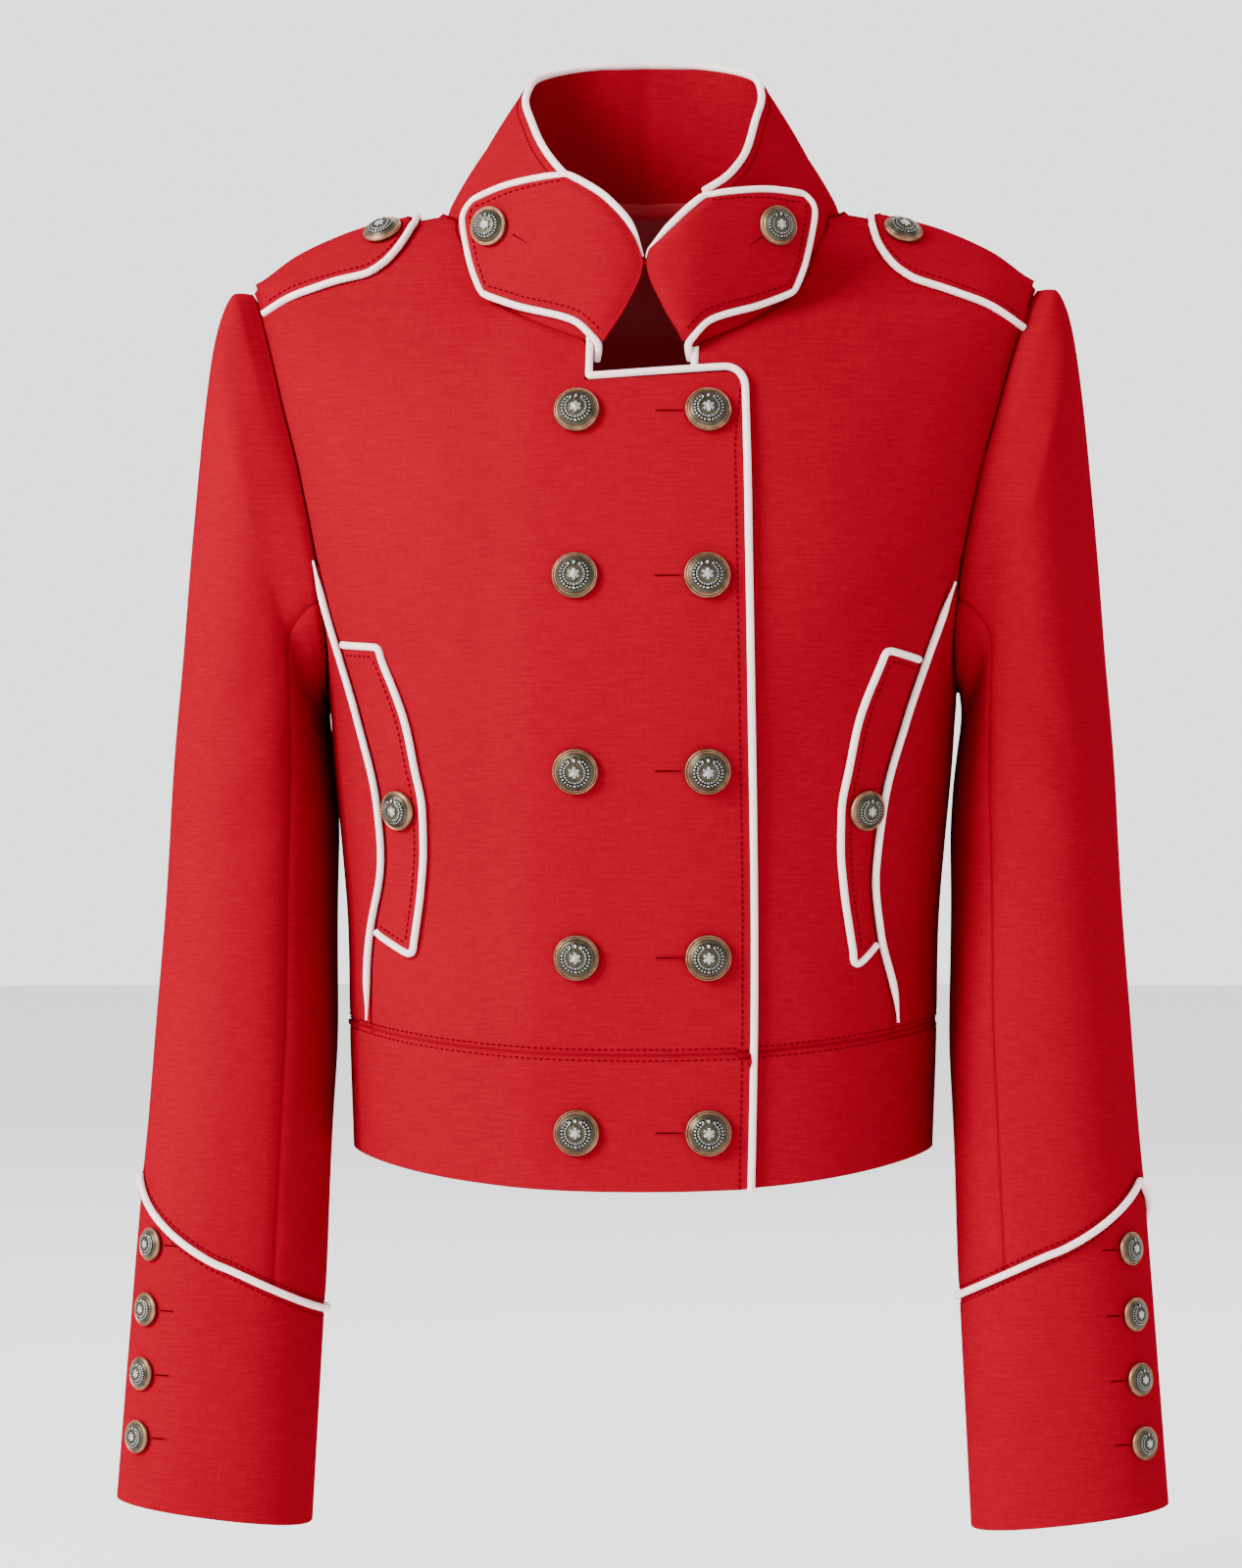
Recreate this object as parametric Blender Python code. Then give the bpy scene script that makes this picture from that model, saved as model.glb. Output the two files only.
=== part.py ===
"""A cropped double-breasted military jacket, filled out as if worn, with nobody in it.

Metres, +Z up. +X is the wearer's left, -Y is the front. The origin is the middle of the neck base,
level with the neck ends of the shoulder seams, where a wearer's shoulders hold the jacket.

The body cloth lies on one closed form, read by a turn round the body and a height. Its panels are
patches of that form between the seams. Sleeves, collar and tabs are walls through named sections.
"""

import math
from collections import namedtuple

import bmesh
import bpy
import numpy as np
from mathutils import Vector

# Cloth and seams
CLOTH = 0.0020
STIFF_CLOTH = 0.0024
LINING = 0.0010
SEAM_GAP = 0.0005
LAYER_GAP = 0.0007
PIPING_RADIUS = 0.0018
PIPING_GAP = 0.0003

# Heights of the main lines
NECK_POINT_Z = 0.0
SHOULDER_TIP_Z = -0.0386
FRONT_TOP_Z = -0.0916
FRONT_TOP_RISE = 0.0045
NOTCH_TOP_Z = -0.0740
SIDE_FRONT_TOP_Z = -0.1690
ARMPIT_Z = -0.2355
BAND_SEAM_SIDE_Z = -0.3940
BAND_SEAM_DIP = 0.0127
HEM_SIDE_Z = -0.4555
HEM_DIP = 0.0150
NAPE_RISE = 0.0160
NAPE_FADE = 0.1000

# Front closure
NOTCH_X = 0.0265
CLOSURE_SHIFT = 0.0046
CLOSURE_FADE = 0.0850
UNDER_EDGE_X = 0.0450
LAP_BLEND = 0.0280
LAP_CORNER_CUT = 0.00225
LAP_CORD_ROUND = 0.0070
LAP_CORD_TURN_Z = 0.0090

# The armhole is a superellipse in the form's own turn and height
ARMHOLE_FRONT = math.radians(27.0)
ARMHOLE_BACK = math.radians(25.0)
ARMHOLE_POWER = 2.4
AROUND = 24
FRONT_STEPS = 7
SIDE_STEPS = 5
SLEEVE_SEAMS = (8, 17)

# Where the side-front seam meets the waistband, and how the panel under the arm bends to the armhole
SEAM_FOOT_X = 0.1270
SIDE_PULL_POWER = 3

# Rows and columns of the body grids
LOW_ROWS = 8
MID_ROWS = 3
BAND_ROWS = 2
LAP_COLUMNS = 4
NECK_COLUMNS = 4
SHOULDER_COLUMNS = 4

RED = (0.53, 0.008, 0.014)
SATIN_RED = (0.60, 0.02, 0.03)
WHITE = (0.86, 0.78, 0.76)
BRASS = (0.30, 0.22, 0.14)


def smoothstep(value):
    value = min(1.0, max(0.0, value))
    return value * value * (3.0 - 2.0 * value)


def lerp(a, b, share):
    return a + (b - a) * share


class Table:
    """Rows of named columns, read at any value of the first column on a smooth curve without overshoot."""

    def __init__(self, columns, *rows):
        self.Row = namedtuple("Row", columns)
        ordered = np.array(sorted(rows), float)
        self.keys = ordered[:, 0]
        self.values = ordered
        steps = np.diff(self.keys)[:, None]
        slopes = np.diff(ordered, axis=0) / steps
        self.slopes = np.zeros_like(ordered)
        self.slopes[0] = slopes[0]
        self.slopes[-1] = slopes[-1]
        same_way = slopes[:-1] * slopes[1:] > 0
        mean = 2.0 * slopes[:-1] * slopes[1:] / np.where(same_way, slopes[:-1] + slopes[1:], 1.0)
        self.slopes[1:-1] = np.where(same_way, mean, 0.0)

    def __call__(self, key):
        key = min(max(key, self.keys[0]), self.keys[-1])
        i = min(int(np.searchsorted(self.keys, key, side="right")) - 1, len(self.keys) - 2)
        step = self.keys[i + 1] - self.keys[i]
        s = (key - self.keys[i]) / step
        low, high = self.values[i], self.values[i + 1]
        from_low, from_high = self.slopes[i] * step, self.slopes[i + 1] * step
        rise = s * s * (3.0 - 2.0 * s)
        read = low + (high - low) * rise + from_low * s * (1 - s) ** 2 - from_high * s * s * (1 - s)
        return self.Row(*read)


# Horizontal rings of the body form. power 2 is an ellipse; less is more pointed at the sides
RINGS = Table(
    "z half_width front back power",
    (0.0000, 0.0910, 0.028, 0.038, 1.50),
    (-0.0030, 0.1080, 0.033, 0.043, 1.50),
    (-0.0095, 0.1370, 0.040, 0.052, 1.50),
    (-0.0145, 0.1510, 0.044, 0.058, 1.50),
    (-0.0225, 0.1680, 0.050, 0.066, 1.50),
    (-0.0325, 0.1836, 0.058, 0.074, 1.50),
    (-0.0386, 0.1925, 0.062, 0.078, 1.52),
    (-0.0600, 0.1965, 0.083, 0.094, 1.70),
    (-0.0900, 0.1925, 0.101, 0.105, 2.00),
    (-0.1300, 0.1815, 0.113, 0.113, 2.20),
    (-0.1700, 0.1700, 0.120, 0.116, 2.35),
    (-0.2100, 0.1590, 0.1235, 0.115, 2.40),
    (-0.2355, 0.1535, 0.1225, 0.112, 2.40),
    (-0.2700, 0.1505, 0.1175, 0.107, 2.40),
    (-0.3100, 0.1468, 0.1115, 0.102, 2.40),
    (-0.3500, 0.1443, 0.1075, 0.0985, 2.40),
    (-0.3950, 0.1433, 0.1065, 0.0975, 2.40),
    (-0.4750, 0.1410, 0.1080, 0.0990, 2.40),
)

# The piped seam between front and side front, as a distance from the middle
SIDE_FRONT_SEAM = Table(
    "z x",
    (-0.1690, 0.1552),
    (-0.1850, 0.1503),
    (-0.2000, 0.1455),
    (-0.2220, 0.1380),
    (-0.2500, 0.1290),
    (-0.2900, 0.1190),
    (-0.3200, 0.1165),
    (-0.3500, 0.1205),
    (-0.3800, 0.1250),
    (-0.4700, 0.1290),
)

# How far both side-front seams lie towards the wearer's right, as worn
SEAM_SHIFT = Table(
    "z x",
    (-0.1690, 0.0000),
    (-0.2000, 0.0018),
    (-0.3070, 0.0036),
    (-0.3520, 0.0062),
    (-0.3900, 0.0032),
    (-0.4700, 0.0030),
)

# The free edge of the lapping front
LAP_EDGE = Table(
    "z x",
    (-0.0855, 0.0494),
    (-0.1500, 0.0514),
    (-0.3700, 0.0539),
    (-0.4750, 0.0524),
)

# Necklines on the body form, from the notch or the nape to the shoulder's neck point
NECK_FRONT = Table(
    "share turn z",
    (0.00, 8.0, -0.0740),
    (0.25, 19.0, -0.0610),
    (0.50, 28.5, -0.0440),
    (0.70, 39.5, -0.0180),
    (0.86, 55.0, -0.0050),
    (1.00, 90.0, 0.0000),
)
NECK_BACK = Table(
    "share turn z",
    (0.00, 90.0, 0.0000),
    (0.40, 128.0, -0.0030),
    (0.70, 155.0, -0.0090),
    (1.00, 180.0, -0.0120),
)


# ---------------------------------------------------------------- the body form


def body(turn, z):
    """The body form's surface. turn 0 is the front, +90 degrees the wearer's left, 180 the back."""
    ring = RINGS(z)
    across, along = math.sin(turn), math.cos(turn)
    bend = 2.0 / ring.power
    x = math.copysign(ring.half_width * abs(across) ** bend, across)
    reach = abs(along) ** bend
    if along > 0.0:
        return Vector((x, -ring.front * reach, z))
    nape = NAPE_RISE * reach ** 2 * smoothstep(1.0 + z / NAPE_FADE)
    return Vector((x, ring.back * reach, z + nape))


def body_normal(turn, z):
    small_turn, small_z = 0.02, 0.0015
    low, high = max(z - small_z, RINGS.keys[0]), min(z + small_z, NECK_POINT_Z)
    round_body = body(turn + small_turn, z) - body(turn - small_turn, z)
    return round_body.cross(body(turn, high) - body(turn, low)).normalized()


def turn_at(x, z):
    """The turn on the front half at which the form is x from the middle."""
    ring = RINGS(z)
    share = min(1.0, abs(x) / ring.half_width) ** (ring.power / 2.0)
    return math.copysign(math.asin(share), x)


def shoulder_z(x):
    """Height of the shoulder line at x, found on the rings above the shoulder tip."""
    low, high = SHOULDER_TIP_Z, NECK_POINT_Z
    for _ in range(40):
        middle = 0.5 * (low + high)
        low, high = (middle, high) if RINGS(middle).half_width > x else (low, middle)
    return low


def armhole(step):
    """Turn and height of the armhole: step 0 is the shoulder tip, then down the front, round and up."""
    angle = math.tau * step / AROUND
    across, up = math.sin(angle), math.cos(angle)
    bend = 2.0 / ARMHOLE_POWER
    reach = ARMHOLE_FRONT if across > 0.0 else ARMHOLE_BACK
    turn = math.pi / 2.0 - reach * math.copysign(abs(across) ** bend, across)
    middle, half = 0.5 * (SHOULDER_TIP_Z + ARMPIT_Z), 0.5 * (SHOULDER_TIP_Z - ARMPIT_Z)
    return turn, middle + half * math.copysign(abs(up) ** bend, up)


def band_seam_z(turn):
    return BAND_SEAM_SIDE_Z - BAND_SEAM_DIP * max(0.0, math.cos(turn)) ** 2


def hem_z(turn):
    return HEM_SIDE_Z - HEM_DIP * max(0.0, math.cos(turn)) ** 2


def patch(bottom, top, left, right, columns, rows):
    """Turns and heights of a four-sided patch, each side a list of (turn, height)."""
    bottom, top, left, right = (np.array(side, float) for side in (bottom, top, left, right))
    u = np.linspace(0.0, 1.0, columns + 1)[:, None, None]
    v = np.linspace(0.0, 1.0, rows + 1)[None, :, None]
    ruled = (1 - v) * bottom[:, None] + v * top[:, None] + (1 - u) * left[None] + u * right[None]
    corners = (1 - u) * (1 - v) * bottom[0] + u * (1 - v) * bottom[-1]
    corners = corners + (1 - u) * v * top[0] + u * v * top[-1]
    return ruled - corners


# ---------------------------------------------------------------- solids


def material(name, colour, roughness, metallic):
    made = bpy.data.materials.new(name)
    made.use_nodes = True
    surface = made.node_tree.nodes["Principled BSDF"]
    surface.inputs["Base Color"].default_value = (*colour, 1.0)
    surface.inputs["Roughness"].default_value = roughness
    surface.inputs["Metallic"].default_value = metallic
    return made


def add_object(name, data, colour, roughness=0.85, metallic=0.0):
    made = bpy.data.objects.new(name, data)
    data.materials.append(material(name, colour, roughness, metallic))
    bpy.context.scene.collection.objects.link(made)
    return made


def wall(name, outer, inner, colour=RED, closed=False, cells=None):
    """A closed wall between two grids of points. cells says which squares of the grid are cloth."""
    columns, rows = len(outer), len(outer[0])
    span = columns if closed else columns - 1
    if cells is None:
        cells = {(i, j) for i in range(span) for j in range(rows - 1)}
    mesh = bmesh.new()
    made = {}

    def vertex(layer, i, j):
        key = (layer, i % columns, j)
        if key not in made:
            made[key] = mesh.verts.new((outer, inner)[layer][i % columns][j])
        return made[key]

    def around(cell):
        i, j = cell
        corners = [(i, j), (i + 1, j), (i + 1, j + 1), (i, j + 1)]
        return list(zip(corners, corners[1:] + corners[:1]))

    def joined(edge):
        return tuple(sorted((i % columns, j) for i, j in edge))

    uses = {}
    for cell in cells:
        for edge in around(cell):
            uses[joined(edge)] = uses.get(joined(edge), 0) + 1
    for cell in sorted(cells):
        edges = around(cell)
        corners = [start for start, _ in edges]
        for three in ((0, 1, 2), (0, 2, 3)):
            mesh.faces.new([vertex(0, *corners[k]) for k in three])
            mesh.faces.new([vertex(1, *corners[k]) for k in reversed(three)])
        for start, end in edges:
            if uses[joined((start, end))] == 1:
                mesh.faces.new((vertex(0, *end), vertex(0, *start), vertex(1, *start), vertex(1, *end)))
    bmesh.ops.recalc_face_normals(mesh, faces=mesh.faces)
    data = bpy.data.meshes.new(name)
    mesh.to_mesh(data)
    mesh.free()
    data.shade_smooth()
    data.set_sharp_from_angle(angle=math.radians(50.0))
    return add_object(name, data, colour)


def flipped(vector):
    return Vector((-vector.x, vector.y, vector.z))


def mirrored(grid):
    return [[flipped(point) for point in column] for column in grid]


def grids(turns, lift=0.0, thickness=CLOTH, seams=(), mirror=False):
    """Outer and inner points of cloth on the body form. seams names the sides drawn back for a seam gap.

    turns[i][j] is a turn and a height; lift is one distance or a function of the outer point.
    """
    columns, rows = len(turns), len(turns[0])
    surface = [[body(*turns[i][j]) for j in range(rows)] for i in range(columns)]
    normals = [[body_normal(*turns[i][j]) for j in range(rows)] for i in range(columns)]
    moved = [[point.copy() for point in column] for column in surface]
    for i in range(columns):
        for j in range(rows):
            for side, at, inward in (
                ("left", i == 0, (1, 0)),
                ("right", i == columns - 1, (-1, 0)),
                ("bottom", j == 0, (0, 1)),
                ("top", j == rows - 1, (0, -1)),
            ):
                if at and side in seams:
                    towards = surface[i + inward[0]][j + inward[1]] - surface[i][j]
                    towards -= normals[i][j] * towards.dot(normals[i][j])
                    moved[i][j] += towards.normalized() * SEAM_GAP / 2.0
    for i in range(columns):
        for j in range(rows):
            rise = lift(surface[i][j]) if callable(lift) else lift
            moved[i][j] += normals[i][j] * rise
    inner = [[moved[i][j] - normals[i][j] * thickness for j in range(rows)] for i in range(columns)]
    if mirror:
        moved, inner = mirrored(moved), mirrored(inner)
    return moved, inner


def piping(name, path):
    """A round white cord through the points of a path."""
    curve = bpy.data.curves.new(name, "CURVE")
    curve.dimensions = "3D"
    curve.bevel_depth = PIPING_RADIUS
    curve.bevel_resolution = 1
    curve.use_fill_caps = True
    spline = curve.splines.new("POLY")
    spline.points.add(len(path) - 1)
    for point, place in zip(spline.points, path):
        point.co = (*place, 1.0)
    return add_object(name, curve, WHITE, 0.8)


# ---------------------------------------------------------------- fronts, side fronts and back


def closure_shift(x):
    """The closure meets a little to the wearer's left of the middle; the shift fades outwards."""
    return CLOSURE_SHIFT * (1.0 - smoothstep(abs(x) / CLOSURE_FADE))


def lap_lift(point):
    """How far the lapping front stands off the form, for a point drawn on the +X half."""
    return (CLOTH + LAYER_GAP) * smoothstep((UNDER_EDGE_X + LAP_BLEND - point.x) / LAP_BLEND)


def neckline(side):
    """Turns and heights of the front neckline on the +X half, shifted with the closure on the given side."""
    line = []
    for share in np.linspace(0.0, 1.0, NECK_COLUMNS + 1):
        place = NECK_FRONT(share)
        x = NOTCH_X if share == 0.0 else body(math.radians(place.turn), place.z).x
        shift = closure_shift(x) if share < 1.0 else 0.0
        line.append((turn_at(x + side * shift, place.z) if share < 1.0 else math.pi / 2.0, place.z))
    return line


def seam_x(z, side):
    return SIDE_FRONT_SEAM(z).x - side * SEAM_SHIFT(z).x


def side_lines(side):
    """The side-front seam and the front of the armhole, from the waistband up, as turns and heights."""
    side_low = []
    for share in np.linspace(0.0, 1.0, LOW_ROWS + 1):
        z = lerp(band_seam_z(turn_at(SEAM_FOOT_X, BAND_SEAM_SIDE_Z)), SIDE_FRONT_TOP_Z, share)
        side_low.append((turn_at(seam_x(z, side), z), z))
    side_high = [armhole(step) for step in range(FRONT_STEPS, -1, -1)]
    side_low[-1] = side_high[0]
    return side_low, side_high


def front(name, side, edge_x):
    """One front panel, from its front edge to the side-front seam and the armhole, up to neck and shoulder.

    side is +1 for the wearer's left and -1 for the wearer's right; edge_x(z) is how far the front edge
    lies past the middle, on the other side of it. Gives back the turns along its waistband seam.
    """
    side_low, side_high = side_lines(side)
    columns = LAP_COLUMNS + NECK_COLUMNS + SHOULDER_COLUMNS
    rest = NECK_COLUMNS + SHOULDER_COLUMNS
    rows = LOW_ROWS + FRONT_STEPS

    def row(left, notch, right, z_left, z_notch, z_right):
        to_notch, to_side = np.linspace(0.0, 1.0, LAP_COLUMNS + 1)[:-1], np.linspace(0.0, 1.0, rest + 1)
        line = [(lerp(left, notch, share), lerp(z_left, z_notch, share)) for share in to_notch]
        return line + [(lerp(notch, right, share), lerp(z_notch, z_right, share)) for share in to_side]

    def notch_turn(z):
        return turn_at(NOTCH_X + side * closure_shift(NOTCH_X), z)

    turns = [[None] * (rows + 1) for _ in range(columns + 1)]
    for j in range(LOW_ROWS + MID_ROWS + 1):
        if j <= LOW_ROWS:
            right, z_right = side_low[j]
            share = j / LOW_ROWS
            z_middle = lerp(band_seam_z(0.0), SIDE_FRONT_TOP_Z, share)
        else:
            right, z_right = side_high[j - LOW_ROWS]
            z_middle = lerp(SIDE_FRONT_TOP_Z, FRONT_TOP_Z, (j - LOW_ROWS) / MID_ROWS)
        top_row = j == LOW_ROWS + MID_ROWS
        z_edge = z_middle + (FRONT_TOP_RISE if top_row and side < 0 else 0.0)
        edge = -turn_at(edge_x(z_edge), z_edge)
        line = row(edge, notch_turn(z_middle), right, z_edge, z_middle, z_right)
        for i, place in enumerate(line):
            turns[i][j] = place
        if j == 0:
            for i, (turn, _) in enumerate(line):
                turns[i][0] = (turn, band_seam_z(turn))
    first = LOW_ROWS + MID_ROWS
    bottom = [turns[i][first] for i in range(LAP_COLUMNS, columns + 1)]
    top = neckline(side)
    tip_x = RINGS(SHOULDER_TIP_Z).half_width
    for s in np.linspace(0.0, 1.0, SHOULDER_COLUMNS + 1)[1:]:
        top.append((math.pi / 2.0, shoulder_z(lerp(RINGS(0.0).half_width, tip_x, s))))
    top[-1] = armhole(0)
    steps = rows - first
    left = [(notch_turn(z), z) for z in np.linspace(FRONT_TOP_Z, NOTCH_TOP_Z, steps + 1)]
    upper = patch(bottom, top, left, side_high[MID_ROWS:], rest, steps)
    for i in range(rest + 1):
        for j in range(steps + 1):
            turns[LAP_COLUMNS + i][first + j] = tuple(upper[i][j])
    for i in range(LAP_COLUMNS):
        for j in range(first + 1, rows + 1):
            turns[i][j] = turns[i][first]
    cells = {(i, j) for i in range(columns) for j in range(rows) if i >= LAP_COLUMNS or j < first}
    lift = lap_lift if side < 0 else 0.0
    outer, inner = grids(turns, lift, seams=("right", "bottom", "top"), mirror=side < 0)
    if side < 0:
        corner = outer[0][first], inner[0][first]
        for place, neighbour_a, neighbour_b in (
            (corner[0], outer[1][first], outer[0][first - 1]),
            (corner[1], inner[1][first], inner[0][first - 1]),
        ):
            drawn_in = (neighbour_a - place).normalized() + (neighbour_b - place).normalized()
            place += drawn_in * LAP_CORNER_CUT
    wall(name, outer, inner, cells=cells)
    return [column[0][0] for column in turns]


def side_front(name, side):
    """The panel between the side-front seam and the side seam. Gives back its waistband seam's turns."""
    side_low, _ = side_lines(side)
    turns = []
    for i in range(SIDE_STEPS + 1):
        share = i / SIDE_STEPS
        top_turn, top_z = armhole(FRONT_STEPS + i)
        column = []
        for j in range(LOW_ROWS + 1):
            v = j / LOW_ROWS
            seam_turn, seam_z = side_low[j]
            side_z = lerp(BAND_SEAM_SIDE_Z, ARMPIT_Z, v)
            z = lerp(seam_z, side_z, share)
            turn = lerp(seam_turn, math.pi / 2.0, share)
            pull = v ** SIDE_PULL_POWER
            straight_turn = lerp(side_low[-1][0], math.pi / 2.0, share)
            straight_z = lerp(side_low[-1][1], ARMPIT_Z, share)
            column.append((turn + (top_turn - straight_turn) * pull, z + (top_z - straight_z) * pull))
        column[0] = (column[0][0], band_seam_z(column[0][0]))
        turns.append(column)
    outer, inner = grids(turns, seams=("left", "right", "bottom", "top"), mirror=side < 0)
    wall(name, outer, inner)
    return [column[0][0] for column in turns]


def back_turns():
    """Turns and heights of the back, from the wearer's left side seam to the right one."""
    columns = 2 * (NECK_COLUMNS + SHOULDER_COLUMNS)
    half = math.pi / 2.0
    left = [(half, lerp(BAND_SEAM_SIDE_Z, ARMPIT_Z, s)) for s in np.linspace(0, 1, LOW_ROWS + 1)]
    left += [armhole(AROUND / 2 + step) for step in range(1, AROUND // 2 + 1)]
    right = [(math.tau - turn, z) for turn, z in left]
    bottom = [(lerp(half, 3 * half, i / columns), BAND_SEAM_SIDE_Z) for i in range(columns + 1)]
    tip_x, neck_x = RINGS(SHOULDER_TIP_Z).half_width, RINGS(0.0).half_width
    top = [(half, shoulder_z(lerp(tip_x, neck_x, s))) for s in np.linspace(0, 1, SHOULDER_COLUMNS + 1)]
    top[0] = armhole(0)
    for s in np.linspace(0.0, 1.0, NECK_COLUMNS + 1)[1:]:
        place = NECK_BACK(s)
        top.append((math.radians(place.turn), place.z))
    top += [(math.tau - turn, z) for turn, z in reversed(top[:-1])]
    return patch(bottom, top, left, right, columns, len(left) - 1)


def waistband(name, turns_of_seam, side, edge_x=None, lift=0.0, seams=("left", "right", "top")):
    """A waistband piece under the panels whose seam runs through the given turns."""
    turns = []
    for turn in turns_of_seam:
        heights = np.linspace(hem_z(turn), band_seam_z(turn), BAND_ROWS + 1)
        turns.append([(turn, z) for z in heights])
    if edge_x is not None:
        turns[0] = [(-turn_at(edge_x(z), z), z) for _, z in turns[0]]
    outer, inner = grids(turns, lift, seams=seams, mirror=side < 0)
    wall(name, outer, inner)


# ---------------------------------------------------------------- sleeves and cuffs

# Sections of the wearer's left sleeve: its outermost and innermost line, middle depth and half depth
SLEEVE = Table(
    "along outer_x outer_z inner_x inner_z middle_y half_y",
    (0.00, 0.1925, -0.0386, 0.1535, -0.2355, 0.000, 0.060),
    (0.03, 0.2005, -0.0390, 0.1552, -0.2385, 0.000, 0.062),
    (0.06, 0.2065, -0.0490, 0.1553, -0.2430, 0.000, 0.063),
    (0.11, 0.2112, -0.0720, 0.1550, -0.2510, 0.000, 0.063),
    (0.19, 0.2155, -0.1060, 0.1535, -0.2640, -0.001, 0.062),
    (0.29, 0.2196, -0.1550, 0.1514, -0.2850, -0.002, 0.061),
    (0.39, 0.2238, -0.2050, 0.1502, -0.3080, -0.004, 0.060),
    (0.50, 0.2282, -0.2600, 0.1500, -0.3330, -0.007, 0.058),
    (0.62, 0.2315, -0.3160, 0.1495, -0.3640, -0.011, 0.056),
    (0.73, 0.2348, -0.3720, 0.1490, -0.4000, -0.016, 0.053),
    (0.85, 0.2388, -0.4280, 0.1503, -0.4400, -0.021, 0.050),
    (1.00, 0.2438, -0.4900, 0.1522, -0.4930, -0.026, 0.045),
    (1.30, 0.2536, -0.6247, 0.1590, -0.6363, -0.035, 0.035),
)
SLEEVE_END = 1.3
SLEEVE_POWER = 2.15
SLEEVE_INNER_POWER = 2.3
SLEEVE_ROWS = (0.0, 0.03, 0.06, 0.11, 0.19, 0.29, 0.40, 0.52, 0.64, 0.76)
CUFF_PEAK_Z = -0.4690
CUFF_DROP = 0.0605
CUFF_POWER = 0.51
CUFF_PEAK_STEP = 1.6
CUFF_ROWS = 3
CUFF_SEARCH_FROM = 0.5


def sleeve_point(step, along):
    """A point of the wearer's left sleeve; step 0 is the outer line, 6 the front, 12 the inner line."""
    section = SLEEVE(along)
    angle = math.tau * step / AROUND
    across, out = math.sin(angle), math.cos(angle)
    bend = 2.0 / (SLEEVE_POWER if out > 0.0 else SLEEVE_INNER_POWER)
    swing = math.copysign(abs(out) ** bend, out)
    reach = math.copysign(abs(across) ** bend, across)
    x = lerp(section.inner_x, section.outer_x, 0.5 + 0.5 * swing)
    z = lerp(section.inner_z, section.outer_z, 0.5 + 0.5 * swing)
    place = Vector((x, section.middle_y - section.half_y * reach, z))
    joined = smoothstep(along / SLEEVE_ROWS[3])
    if joined >= 1.0:
        return place
    start = body(*armhole(step))
    section_start = SLEEVE(0.0)
    x0 = lerp(section_start.inner_x, section_start.outer_x, 0.5 + 0.5 * swing)
    z0 = lerp(section_start.inner_z, section_start.outer_z, 0.5 + 0.5 * swing)
    at_armhole = Vector((x0, section_start.middle_y - section_start.half_y * reach, z0))
    return place + (start - at_armhole) * (1.0 - joined)


def sleeve_normal(step, along):
    small_step, small_along = 0.1, 0.01
    down = sleeve_point(step, along + small_along) - sleeve_point(step, max(0.0, along - small_along))
    round_arm = sleeve_point(step + small_step, along) - sleeve_point(step - small_step, along)
    return round_arm.cross(down).normalized()


def armhole_inward(step):
    """The direction along the form from the armhole's edge into the hole."""
    along = body(*armhole(step + 0.1)) - body(*armhole(step - 0.1))
    return body_normal(*armhole(step)).cross(along).normalized()


def along_at(step, z, low):
    """How far down the sleeve the point at this step has the height z, searched from low downwards."""
    high = SLEEVE_END
    for _ in range(40):
        middle = 0.5 * (low + high)
        low, high = (middle, high) if sleeve_point(step, middle).z > z else (low, middle)
    return low


def cuff_seam_along(step):
    """How far down the sleeve the cuff seam runs."""
    angle = math.tau * (step - CUFF_PEAK_STEP) / AROUND
    z = CUFF_PEAK_Z - CUFF_DROP * (0.5 - 0.5 * math.cos(angle)) ** CUFF_POWER
    return along_at(step, z, CUFF_SEARCH_FROM)


def sleeve_grid(steps, side):
    """Outer and inner points over some steps round the arm, from the armhole to the cuff seam."""
    outer, inner = [], []
    for step in steps:
        last = cuff_seam_along(step)
        alongs = [*SLEEVE_ROWS, lerp(SLEEVE_ROWS[-1], last, 0.5), last]
        outer_column, inner_column = [], []
        for j, along in enumerate(alongs):
            place = sleeve_point(step, along)
            normal = sleeve_normal(step, max(along, 0.5 * SLEEVE_ROWS[1]))
            if j == 0:
                place = place + armhole_inward(step) * SEAM_GAP + body_normal(*armhole(step)) * SEAM_GAP
            if j == len(alongs) - 1:
                place = place + (sleeve_point(step, alongs[-2]) - place).normalized() * SEAM_GAP / 2.0
            outer_column.append(place)
            inner_column.append(place - normal * CLOTH)
        outer.append(outer_column)
        inner.append(inner_column)
    for layer in (outer, inner):
        for j in range(len(layer[0])):
            first_step, last_step = layer[1][j] - layer[0][j], layer[-2][j] - layer[-1][j]
            layer[0][j] = layer[0][j] + first_step.normalized() * SEAM_GAP
            layer[-1][j] = layer[-1][j] + last_step.normalized() * SEAM_GAP
    return (mirrored(outer), mirrored(inner)) if side < 0 else (outer, inner)


def cuff_grid(side):
    outer, inner = [], []
    for step in range(AROUND):
        first = cuff_seam_along(step)
        outer_column, inner_column = [], []
        for j, share in enumerate(np.linspace(0.0, 1.0, CUFF_ROWS + 1)):
            along = lerp(first, SLEEVE_END, share)
            place = sleeve_point(step, along)
            if j == 0:
                place = place + (sleeve_point(step, SLEEVE_END) - place).normalized() * SEAM_GAP / 2.0
            outer_column.append(place)
            inner_column.append(place - sleeve_normal(step, along) * CLOTH)
        outer.append(outer_column)
        inner.append(inner_column)
    return (mirrored(outer), mirrored(inner)) if side < 0 else (outer, inner)


# ---------------------------------------------------------------- collar and its turned-back tabs

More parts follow.
